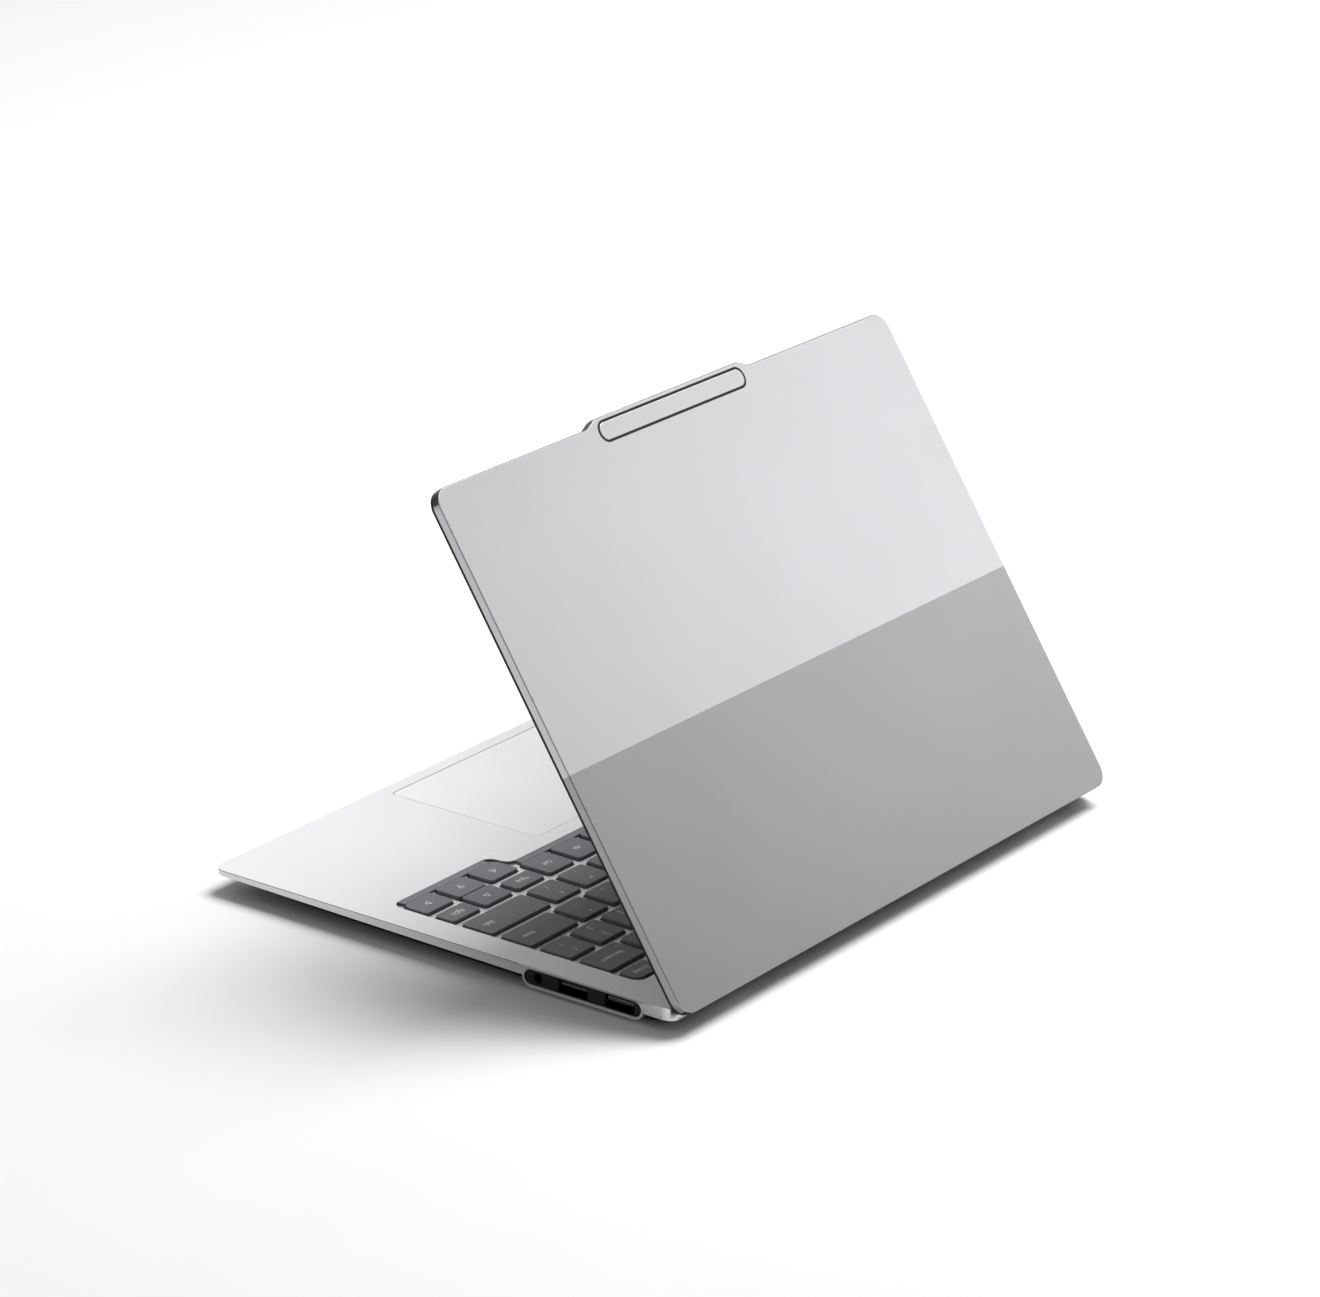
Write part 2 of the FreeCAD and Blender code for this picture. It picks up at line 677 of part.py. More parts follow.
# Bottom hull: from the rim's tilted lower edge to the flat bottom
def hull(inset, floor):
    rim = rectangle(-half + inset, half - inset, inset, nose_end_y - inset)
    top = outline(rim, [BASE_CORNER - inset] * 4)
    top.rotate(vec(0, 0, 0), vec(1, 0, 0), rim_slope)
    top.translate(vec(0, 0, rim_front_z))
    grown = inset - HULL_STEP
    front_y = HULL_INSET_FRONT + grown
    rear_y = base_depth - HULL_INSET_REAR - grown
    front_x = half - HULL_SIDE_FRONT - grown
    rear_x = half - HULL_SIDE_REAR - grown
    corners = [(-front_x, front_y), (front_x, front_y), (rear_x, rear_y), (-rear_x, rear_y)]
    radii = [HULL_CORNER_FRONT, HULL_CORNER_FRONT, HULL_CORNER_REAR, HULL_CORNER_REAR]
    return Part.makeLoft([top, outline(corners, radii, floor)], True, True)


def vent_slots():
    slots = []
    for i in range(VENT_COUNT):
        y = fan_y + (i - (VENT_COUNT - 1) / 2) * VENT_PITCH
        slots.append(rounded_box(fan_x - VENT_LENGTH / 2, fan_x + VENT_LENGTH / 2, y - VENT_SLOT / 2,
                                 y + VENT_SLOT / 2, 0, floor_z + OVERSHOOT, VENT_SLOT / 2 - PILL_RUN))
    z = (FOOT_HEIGHT + rim_rear_z) / 2
    for i in range(EXHAUST_COUNT):
        x = (i - (EXHAUST_COUNT - 1) / 2) * EXHAUST_PITCH
        slots.append(box(x - EXHAUST_SLOT / 2, x + EXHAUST_SLOT / 2, axis_y - NOSE_BEAM, base_depth,
                         z - EXHAUST_HEIGHT / 2, z + EXHAUST_HEIGHT / 2))
    return slots


def make_bottom_cover():
    outer = hull(HULL_STEP, FOOT_HEIGHT)
    shell = outer.cut(hull(HULL_STEP + HULL_WALL, floor_z))
    walls = [outer.common(hinge_slot(HINGE_WALL, 0)), outer.common(mirrored(hinge_slot(HINGE_WALL, 0)))]
    shell = shell.fuse(walls)
    cuts = [hinge_slot(0, 0), mirrored(hinge_slot(0, 0)), port_boss(PORT_HULL_GAP)]
    cuts += [port_flange(PORT_HULL_GAP)]
    cuts += [hinge_pocket(), mirrored(hinge_pocket())]
    cuts += vent_slots()
    head_top = FOOT_HEIGHT + SCREW_HEAD_GAP + SCREW_HEAD_HEIGHT
    for x, y in bottom_screw_places():
        cuts.append(rod_z(x, y, 0, head_top, SCREW_HEAD_RADIUS + SCREW_HEAD_GAP))
        cuts.append(rod_z(x, y, 0, floor_z + OVERSHOOT, SCREW_RADIUS))
    parts["bottom_cover"] = shell.cut(cuts)
    screws = [screw(x, y, FOOT_HEIGHT + SCREW_HEAD_GAP,
                    floor_z + BOSS_THREAD - head_top) for x, y in bottom_screw_places()]
    parts["bottom_screws"] = group(screws)


def make_feet():
    feet = []
    for x in (foot_x, -foot_x):
        for y in (FOOT_FRONT, foot_rear_y):
            feet.append(rounded_box(x - FOOT_LENGTH / 2, x + FOOT_LENGTH / 2, y - FOOT_WIDTH / 2,
                                    y + FOOT_WIDTH / 2, 0, FOOT_HEIGHT, FOOT_WIDTH / 2 - PILL_RUN))
    parts["rubber_feet"] = group(feet)


# Hinge: bracket in the base, pin, and the lid's leaf with its knuckle
def make_hinges():
    eye_x = hinge_x - EYE_WIDTH
    front_y = axis_y - NOSE_BEAM - HINGE_GAP - BRACKET_DEPTH
    eye = rod_x(eye_x, hinge_x, axis_y, axis_z, EYE_RADIUS)
    arm = box(eye_x, hinge_x, front_y, axis_y, axis_z - ARM_HALF_HEIGHT, axis_z + ARM_HALF_HEIGHT)
    riser = box(eye_x, hinge_x, front_y, axis_y - NOSE_BEAM - HINGE_GAP,
                axis_z - ARM_HALF_HEIGHT, under_z)
    foot = box(eye_x, eye_x + BRACKET_LENGTH, front_y, front_y + BRACKET_DEPTH,
               under_z - BRACKET_THICKNESS, under_z)
    bracket = eye.fuse([arm, riser, foot]).removeSplitter()
    pin = rod_x(eye_x, hinge_x + HINGE_SLOT + PIN_END, axis_y, axis_z, PIN_RADIUS)
    holes = [rod_z(x, y, 0, deck_z, SCREW_RADIUS) for x, y in bracket_screw_places()]
    bracket = bracket.cut([pin] + holes)
    screws = [screw(x, y, under_z - BRACKET_THICKNESS - SCREW_HEAD_HEIGHT, BRACKET_THICKNESS + BRACKET_BITE)
              for x, y in bracket_screw_places()]
    parts["hinge_bracket_right"] = bracket
    parts["hinge_bracket_left"] = mirrored(bracket)
    parts["hinge_pins"] = group([pin, mirrored(pin)])
    parts["hinge_screws"] = group(screws + [mirrored(s) for s in screws])

    knuckle_x0 = hinge_x + HINGE_SIDE_GAP
    knuckle_x1 = hinge_x + HINGE_SLOT - HINGE_SIDE_GAP
    neck_rear = lid_rear - LID_WALL - NECK_GAP
    knuckle = rod_x(knuckle_x0, knuckle_x1, axis_y, axis_z, KNUCKLE_RADIUS)
    neck = box(knuckle_x0, knuckle_x1, axis_y - NECK_FRONT, neck_rear, axis_z, skin_in)
    leaf_y1 = lid_rear - LEAF_EDGE
    leaf = box(knuckle_x0, knuckle_x0 + LEAF_LENGTH, leaf_y1 - LEAF_HEIGHT, leaf_y1,
               skin_in - LEAF_THICKNESS, skin_in)
    bore = rod_x(0, half, axis_y, axis_z, PIN_RADIUS + PIN_CLEARANCE)
    leaf = knuckle.fuse([neck, leaf]).removeSplitter().cut(bore)
    leaf = leaf.cut([rod_z(x, y, cover_in, skin_in, SCREW_RADIUS) for x, y in leaf_screw_places()])
    parts["hinge_leaf_right"] = leaf
    parts["hinge_leaf_left"] = mirrored(leaf)
    leaf_screws = [screw(x, y, skin_in - LEAF_THICKNESS - SCREW_HEAD_HEIGHT, LEAF_THICKNESS + LEAF_BITE)
                   for x, y in leaf_screw_places()]
    parts["lid_hinge_screws"] = group(leaf_screws + [mirrored(s) for s in leaf_screws])


def leaf_screw_places():
    free_x = hinge_x + HINGE_SLOT
    free = LEAF_LENGTH + HINGE_SIDE_GAP - HINGE_SLOT
    y = lid_rear - LEAF_EDGE - LEAF_HEIGHT / 2
    return [(free_x + free * share, y) for share in LEAF_SCREW_SHARES]


# Lid outline with the camera tab; grow below zero steps it inwards
def lid_outline(grow):
    front = lid_front - grow
    slope = math.atan2(TAB_RISE, TAB_SHOULDER)
    shift = grow * math.tan(slope / 2)
    return [
        (-half - grow, lid_rear + grow),
        (-half - grow, front),
        (-tab_half_base - shift, front),
        (-TAB_HALF_TOP - shift, front - TAB_RISE),
        (TAB_HALF_TOP + shift, front - TAB_RISE),
        (tab_half_base + shift, front),
        (half + grow, front),
        (half + grow, lid_rear + grow),
    ]


def lid_radii(grow):
    corner = LID_CORNER + grow
    foot = TAB_FOOT_ROUND - grow
    tip = TAB_TIP_ROUND + grow
    return [corner, corner, foot, tip, tip, foot, corner, corner]


def lid_plate(grow, z0, z1):
    return plate(lid_outline(grow), lid_radii(grow), z0, z1)


def tab_pill(shrink, z0, z1):
    y0 = lid_front - TAB_PILL_ABOVE
    return rounded_box(-TAB_PILL_LENGTH / 2 + shrink, TAB_PILL_LENGTH / 2 - shrink, y0 + shrink,
                       y0 + TAB_PILL_WIDTH - shrink, z0, z1, TAB_PILL_WIDTH / 2 - shrink - PILL_RUN)


def make_lid_cover():
    block = lid_plate(0, cover_in, lid_out)
    rim = [e for e in block.Edges if min(v.Z for v in e.Vertexes) > lid_out - LID_EDGE_ROUND / 2]
    block = block.makeFillet(LID_EDGE_ROUND, rim)
    cavity = lid_plate(-LID_WALL, cover_in, skin_in)
    pocket = tab_pill(0, lid_out - TAB_PILL_POCKET, lid_out + OVERSHOOT)
    cuts = [cavity, pocket]
    for x, y in leaf_screw_places():
        cuts += [rod_z(s * x, y, skin_in, skin_in + LEAF_BITE, SCREW_RADIUS) for s in (1, -1)]
    parts["lid_back_cover"] = block.cut(cuts)
    pocket_z = lid_out - TAB_PILL_POCKET
    ring = tab_pill(0, pocket_z, lid_out + TAB_TRIM_PROUD)
    parts["camera_bar_trim"] = ring.cut(tab_pill(TAB_TRIM_WIDTH, pocket_z, lid_out + OVERSHOOT))
    parts["camera_bar_plate"] = tab_pill(TAB_TRIM_WIDTH, pocket_z, lid_out + TAB_PLATE_PROUD)


def screen_box(grow, z0, z1):
    y1 = lid_rear - SCREEN_CHIN + grow
    y0 = lid_rear - SCREEN_CHIN - screen_height - grow
    return box(-screen_width / 2 - grow, screen_width / 2 + grow, y0, y1, z0, z1)


def camera_y():
    screen_top = lid_rear - SCREEN_CHIN - screen_height - PANEL_MARGIN
    return (screen_top + lid_front - TAB_RISE + LID_WALL) / 2


def make_screen():
    bezel = lid_plate(-BEZEL_INSET, lid_in, cover_in)
    notch = box(hinge_x, hinge_x + HINGE_SLOT, axis_y - NECK_FRONT - NECK_GAP, lid_rear,
                lid_in - OVERSHOOT, cover_in + OVERSHOOT)
    hole = rod_z(0, camera_y(), lid_in - OVERSHOOT, cover_in + OVERSHOOT, CAMERA_RADIUS + CAMERA_CLEARANCE)
    window = screen_box(0, lid_in - OVERSHOOT, cover_in + OVERSHOOT)
    parts["screen_bezel"] = bezel.cut([window, notch, mirrored(notch), hole])
    parts["display_glass"] = screen_box(0, cover_in - GLASS_THICKNESS, cover_in)
    parts["lcd_panel"] = screen_box(PANEL_MARGIN, cover_in, cover_in + PANEL_THICKNESS)
    outer = lid_plate(-GASKET_INSET, lid_in - GASKET_HEIGHT, lid_in)
    inner = lid_plate(-GASKET_INSET - GASKET_WIDTH, lid_in - OVERSHOOT, lid_in + OVERSHOOT)
    rear = box(-WIDTH, WIDTH, lid_rear - GASKET_END, lid_rear + OVERSHOOT, 0, lid_out)
    parts["lid_gasket"] = outer.cut([inner, rear])


def make_camera():
    y = camera_y()
    board = box(-CAMERA_BOARD_LENGTH / 2, CAMERA_BOARD_LENGTH / 2, y - CAMERA_BOARD_WIDTH / 2,
                y + CAMERA_BOARD_WIDTH / 2, cover_in, skin_in)
    barrel = rod_z(0, y, cover_in - CAMERA_DEPTH, cover_in, CAMERA_RADIUS)
    parts["camera_module"] = board.fuse(barrel)
    lens_z = lid_in + LENS_RECESS
    parts["camera_lens"] = rod_z(0, y, lens_z, lens_z + LENS_THICKNESS, CAMERA_RADIUS + CAMERA_CLEARANCE)


def make_display_cable():
    x0 = -hinge_x + NECK_GAP
    cable_end = x0 + CABLE_LENGTH
    y1 = lid_rear - CABLE_EDGE
    run = box(x0, cable_end, y1 - CABLE_WIDTH, y1, skin_in - CABLE_THICKNESS, skin_in)
    plug = box(cable_end - CABLE_PLUG_LENGTH, cable_end, lid_rear - SCREEN_CHIN + PANEL_MARGIN,
               y1, skin_in - 2 * CABLE_THICKNESS, skin_in)
    parts["display_cable"] = run.fuse(plug).removeSplitter()


# Steel tray behind the keys, with posts that carry the mainboard
def make_keyboard_plate():
    inner = PLATE_MARGIN - PLATE_WALL
    tray = key_field(PLATE_MARGIN, PLATE_MARGIN, PLATE_CORNER, plate_bottom, under_z)
    tray = tray.cut(key_field(inner, inner, PLATE_CORNER, plate_top, under_z))
    tongue = box(power_x - POWER_LENGTH / 2 - TONGUE_MARGIN, power_x + POWER_LENGTH / 2, keys_rear + inner,
                 power_y + POWER_WIDTH / 2 + TONGUE_MARGIN, plate_bottom, plate_top)
    posts = [rod_z(x, y, board_top, plate_bottom, POST_RADIUS)
             for x in (board_left + BOARD_POST_EDGE, connector_back - BOARD_POST_EDGE)
             for y in (board_front + BOARD_POST_EDGE, board_rear - BOARD_POST_EDGE)]
    parts["keyboard_plate"] = tray.fuse([tongue] + posts).removeSplitter()


def make_power_button():
    cap = power_hole(0, under_z - POWER_REST_GAP, deck_z + POWER_PROUD)
    flange_top = under_z - POWER_REST_GAP
    flange = power_hole(POWER_FLANGE, flange_top - POWER_FLANGE_THICKNESS, flange_top)
    parts["power_button"] = cap.fuse(flange).removeSplitter()


# Click pad: it rocks on a ridge near its rear edge, over a switch near its front edge
def make_touchpad():
    parts["touchpad"] = pad_outline(0, deck_z - PAD_THICKNESS, deck_z)
    low = under_z - PAD_BRACKET_THICKNESS
    bracket = pad_outline(PAD_BRACKET_MARGIN, low, under_z)
    ridge_height = DECK_PLATE - PAD_THICKNESS - PAD_PIVOT_GAP
    ridge_y = PAD_FRONT + pad_depth - PAD_PIVOT_EDGE
    ridge = rod_x(PAD_X - PAD_PIVOT_LENGTH / 2, PAD_X + PAD_PIVOT_LENGTH / 2, ridge_y, under_z, ridge_height)
    ridge = ridge.cut(box(-half, half, 0, base_depth, 0, low))
    switch = rod_z(PAD_X, PAD_FRONT + PAD_SWITCH_EDGE, under_z, under_z + PAD_SWITCH_HEIGHT,
                   PAD_SWITCH_RADIUS)
    parts["touchpad_bracket"] = bracket.fuse([ridge, switch]).removeSplitter()


# Right side: black insert with a jack and two flat ports
def usb_shell(y, grow, x0, x1):
    w = USB_WIDTH / 2 + grow
    h = USB_HEIGHT / 2 + grow
    return box(x0, x1, y - w, y + w, port_z - h, port_z + h)


# Open shell with a tongue in its upper half
def usb_port(y):
    x1 = half - USB_RECESS
    shell = usb_shell(y, USB_WALL, connector_back, x1)
    shell = shell.cut(usb_shell(y, 0, connector_back + USB_BACK_WALL, x1 + OVERSHOOT))
    tongue_z = port_z + USB_TONGUE_RAISE
    tongue = box(connector_back, x1 - USB_TONGUE_RECESS, y - USB_TONGUE_WIDTH / 2, y + USB_TONGUE_WIDTH / 2,
                 tongue_z - USB_TONGUE_THICKNESS / 2, tongue_z + USB_TONGUE_THICKNESS / 2)
    return shell.fuse(tongue).removeSplitter()


def make_ports():
    back = half - PORT_BOSS_DEPTH
    insert = port_window(PORT_PLATE_GAP, back, half - PORT_PLATE_RECESS)
    insert = insert.fuse(port_flange(0)).removeSplitter()
    for name, y in usb_places.items():
        parts[name] = usb_port(y)
        insert = insert.cut(usb_shell(y, USB_WALL, connector_back, half + OVERSHOOT))
    jack = rod_x(connector_back, half - CONNECTOR_RECESS, jack_y, port_z, JACK_HALF)
    parts["port_plate"] = insert.cut(rod_x(connector_back, half + OVERSHOOT, jack_y, port_z, JACK_HALF))
    parts["audio_jack"] = jack.cut(rod_x(connector_back + JACK_BACK_WALL, half, jack_y, port_z,
                                         JACK_BORE_RADIUS))


# Mainboard, its chips and the cards on its lower face
def make_board():
    parts["mainboard"] = box(board_left, connector_back, board_front, board_rear,
                             board_bottom, board_top)
    s = PROCESSOR_SIZE / 2
    chips = [box(processor_x - s, processor_x + s, processor_y - s, processor_y + s,
                 chip_bottom, board_bottom)]
    for i in range(MEMORY_COUNT):
        x = processor_x + s + MEMORY_PITCH - MEMORY_WIDTH
        y = processor_y + (i - (MEMORY_COUNT - 1) / 2) * MEMORY_PITCH
        chips.append(box(x, x + MEMORY_LENGTH, y - MEMORY_WIDTH / 2, y + MEMORY_WIDTH / 2,
                         chip_bottom, board_bottom))
    parts["board_chips"] = group(chips)
    card_bottom = board_bottom - CARD_THICKNESS
    parts["storage_card"] = box(storage_x, storage_x + STORAGE_LENGTH, card_y, card_y + STORAGE_WIDTH,
                                card_bottom, board_bottom)
    parts["wireless_card"] = box(wireless_x, wireless_x + WIRELESS_LENGTH, card_y,
                                 card_y + WIRELESS_WIDTH, card_bottom, board_bottom)


# Cooling: fan under the keyboard tray, heat pipe on the processor, fins at the rear
def make_cooling():
    h = FAN_SIZE / 2
    z0 = floor_z + FAN_FLOOR_GAP
    housing = rounded_box(fan_x - h, fan_x + h, fan_y - h, fan_y + h, z0, plate_bottom, FAN_CORNER)
    bowl = rod_z(fan_x, fan_y, z0 + FAN_SKIN, plate_bottom - FAN_SKIN, FAN_RADIUS)
    mouth = box(fan_x - FAN_RADIUS, fan_x + FAN_RADIUS, fan_y, fan_y + FAN_SIZE,
                z0 + FAN_SKIN, plate_bottom - FAN_SKIN)
    inlet = rod_z(fan_x, fan_y, z0 - OVERSHOOT, z0 + FAN_SKIN, FAN_INLET_RADIUS)
    post = rod_z(fan_x, fan_y, z0 + FAN_SKIN + FAN_ROTOR_GAP, plate_bottom, FAN_POST_RADIUS)
    parts["fan_housing"] = housing.cut([bowl, mouth, inlet]).fuse(post).removeSplitter()
    r0 = z0 + FAN_SKIN + FAN_ROTOR_GAP
    r1 = plate_bottom - FAN_SKIN - FAN_ROTOR_GAP
    hub = rod_z(fan_x, fan_y, r0, r1, FAN_HUB_RADIUS)
    blades = []
    for i in range(FAN_BLADES):
        blade = box(fan_x + FAN_HUB_RADIUS / 2, fan_x + FAN_RADIUS - FAN_BLADE_TIP,
                    fan_y - FAN_BLADE_THICKNESS / 2, fan_y + FAN_BLADE_THICKNESS / 2, r0, r1)
        blade.rotate(vec(fan_x, fan_y, 0), vec(0, 0, 1), 360 * i / FAN_BLADES)
        blades.append(blade)
    bore = rod_z(fan_x, fan_y, r0 - OVERSHOOT, r1 + OVERSHOOT, FAN_POST_RADIUS + FAN_POST_CLEARANCE)
    parts["fan_rotor"] = hub.fuse(blades).removeSplitter().cut(bore)

    fin_y = fan_y + h + FIN_GAP
    pipe_z = chip_bottom - PIPE_THICKNESS
    pipe_y = fin_y + FIN_DEPTH / 2
    w = PIPE_WIDTH / 2
    along = box(fan_x - FIN_LENGTH / 2, processor_x + w, pipe_y - w, pipe_y + w, pipe_z, chip_bottom)
    across = box(processor_x - w, processor_x + w, processor_y - PROCESSOR_SIZE / 2, pipe_y + w,
                 pipe_z, chip_bottom)
    parts["heat_pipe"] = along.fuse(across).removeSplitter()
    x0 = fan_x - FIN_LENGTH / 2
    fins = [box(x0, x0 + FIN_LENGTH, fin_y, fin_y + FIN_DEPTH, chip_bottom, chip_bottom + FIN_BASE)]
    count = int(FIN_LENGTH // FIN_PITCH)
    for i in range(count):
        x = x0 + i * FIN_PITCH
        fins.append(box(x, x + FIN_THICKNESS, fin_y, fin_y + FIN_DEPTH,
                        chip_bottom, chip_bottom + FIN_HEIGHT))
    parts["cooling_fins"] = fins[0].fuse(fins[1:]).removeSplitter()


def make_battery():
    x0 = -battery_width / 2
    y0 = BATTERY_FRONT
    top = floor_z + BATTERY_HEIGHT - BATTERY_CELL_PROUD
    frame = rounded_box(x0, -x0, y0, y0 + battery_depth, floor_z, top, BATTERY_FRAME)
    pitch = (battery_width - BATTERY_FRAME) / BATTERY_CELLS
    cells = []
    for i in range(BATTERY_CELLS):
        x = x0 + BATTERY_FRAME + i * pitch
        cells.append(rounded_box(x, x + pitch - BATTERY_FRAME, y0 + BATTERY_FRAME,
                                 y0 + battery_depth - BATTERY_FRAME, floor_z, floor_z + BATTERY_HEIGHT,
                                 BATTERY_FRAME))
    parts["battery_pack"] = frame.fuse(cells).removeSplitter()


def make_speakers():
    w = SPEAKER_WIDTH / 2
    speaker = rounded_box(speaker_x - w, speaker_x + w, SPEAKER_FRONT, SPEAKER_FRONT + speaker_depth,
                          floor_z, floor_z + SPEAKER_HEIGHT, SPEAKER_CORNER)
    parts["speakers"] = group([speaker, mirrored(speaker)])


LID_NODES = [
    "lid_back_cover", "camera_bar_trim", "camera_bar_plate", "screen_bezel", "display_glass", "lcd_panel",
    "lid_gasket", "camera_module", "camera_lens", "hinge_leaf_left", "hinge_leaf_right", "lid_hinge_screws",
    "display_cable",
]


def main():
    make_keyboard_deck()
    make_bottom_cover()
    make_feet()
    make_hinges()
    make_lid_cover()
    make_screen()
    make_camera()
    make_display_cable()
    make_keys()
    make_keyboard_plate()
    make_power_button()
    make_touchpad()
    make_ports()
    make_board()
    make_cooling()
    make_battery()
    make_speakers()

    # Open the lid, then put the origin under the middle of the open machine
    for name in LID_NODES:
        parts[name].rotate(vec(0, axis_y, axis_z), vec(-1, 0, 0), OPEN_ANGLE)
    whole = group(parts.values()).BoundBox
    shift = vec(0, -(whole.YMin + whole.YMax) / 2, 0)
    os.makedirs("parts", exist_ok=True)
    for name, shape in parts.items():
        shape.translate(shift)
        shape.exportStep("parts/" + name + ".step")
    pad_pivot_y = PAD_FRONT + pad_depth - PAD_PIVOT_EDGE + shift.y
    print("nodes", len(parts))
    print("hinge axis y, z", round(axis_y + shift.y, 3), round(axis_z, 3))
    print("touchpad pivot y, z", round(pad_pivot_y, 3), round(under_z, 3))
    print("fan axis x, y", round(fan_x, 3), round(fan_y + shift.y, 3))
    print("jack y, z", round(jack_y + shift.y, 3), round(port_z, 3))
    print("front edge y, deck z", round(shift.y, 3), round(deck_z, 3))


main()
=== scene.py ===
"""Looks of a thin aluminium laptop that stands open, seen from behind its right side."""

import json
import logging
import math
from dataclasses import dataclass, field
from enum import Enum
from typing import Callable, Iterable, Union

import bmesh
import bpy
from mathutils import Matrix, Vector


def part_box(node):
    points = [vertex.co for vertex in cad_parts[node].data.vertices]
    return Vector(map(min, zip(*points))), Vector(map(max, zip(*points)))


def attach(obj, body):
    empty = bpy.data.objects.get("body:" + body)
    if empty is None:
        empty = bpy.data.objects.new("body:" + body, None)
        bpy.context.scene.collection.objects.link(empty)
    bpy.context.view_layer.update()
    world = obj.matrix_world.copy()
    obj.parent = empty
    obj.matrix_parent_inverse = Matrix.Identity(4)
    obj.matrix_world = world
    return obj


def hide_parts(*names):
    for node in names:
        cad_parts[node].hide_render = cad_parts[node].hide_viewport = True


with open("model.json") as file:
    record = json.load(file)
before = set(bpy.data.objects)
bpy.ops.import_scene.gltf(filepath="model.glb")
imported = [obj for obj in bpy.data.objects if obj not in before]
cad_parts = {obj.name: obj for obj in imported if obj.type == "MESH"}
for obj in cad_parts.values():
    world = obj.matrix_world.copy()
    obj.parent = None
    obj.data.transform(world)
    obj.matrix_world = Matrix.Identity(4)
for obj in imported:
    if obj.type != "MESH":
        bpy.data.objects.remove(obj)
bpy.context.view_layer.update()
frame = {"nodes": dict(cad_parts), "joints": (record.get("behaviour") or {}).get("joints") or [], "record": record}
NODES = frame["nodes"]
JOINTS = {joint["name"]: joint for joint in frame["joints"]}
SLOTS = {part["node"]: part["material_slot"] for part in frame["record"]["subparts"]}
BODIES = frame["record"]["behaviour"]["bodies"]
NODE_BODY = {node: body for body, members in BODIES.items() for node in members}

MM = 0.001
# Points nearer than MERGE are one point, and a normal with more than ALONG on an axis lies along it.
MERGE = 0.002 * MM
ALONG = 0.99
# Middle part of a noise's values, which is stretched to the full range.
PATCH_RANGE = (0.3, 0.7)
GRAIN_RANGE = (0.2, 0.8)
# Share by which the grain changes the roughness.
ROUGH_CHANGE = 0.1
log = logging.getLogger("laptop")

Piece = bpy.types.Object
Material = bpy.types.Material
Tree = bpy.types.NodeTree
Socket = bpy.types.NodeSocket
Edge = bmesh.types.BMEdge
Face = bmesh.types.BMFace
Pair = tuple[float, float]
Triple = tuple[float, float, float]
Box = tuple[Vector, Vector]
SocketValue = Union[float, tuple, Vector, Socket]


def linear(colour: str, alpha: float = 1.0) -> tuple[float, float, float, float]:
    """Turns an sRGB hex colour into linear values.

    Args:
        colour: Six hex digits after a hash sign.
        alpha: Opacity.

    Returns:
        Red, green, blue and alpha, linear.
    """
    parts = [int(colour[i:i + 2], 16) / 255 for i in (1, 3, 5)]
    values = [p / 12.92 if p <= 0.04045 else ((p + 0.055) / 1.055) ** 2.4 for p in parts]
    return (values[0], values[1], values[2], alpha)


def add_node(tree: Tree, kind: str, sockets: dict[Union[str, int], SocketValue] | None = None,
             **settings: object) -> bpy.types.Node:
    """Adds a shader node with its settings, values and links.

    Args:
        tree: Node tree of the material.
        kind: Blender's name of the node type.
        sockets: Input name or number to a value, or to the output that it is linked to.
        settings: Fields of the node itself.

    Returns:
        The new node.
    """
    made = tree.nodes.new(kind)
    for name, value in settings.items():
        setattr(made, name, value)
    for key, value in (sockets or {}).items():
        if isinstance(value, Socket):
            tree.links.new(value, made.inputs[key])
        else:
            made.inputs[key].default_value = value
    return made


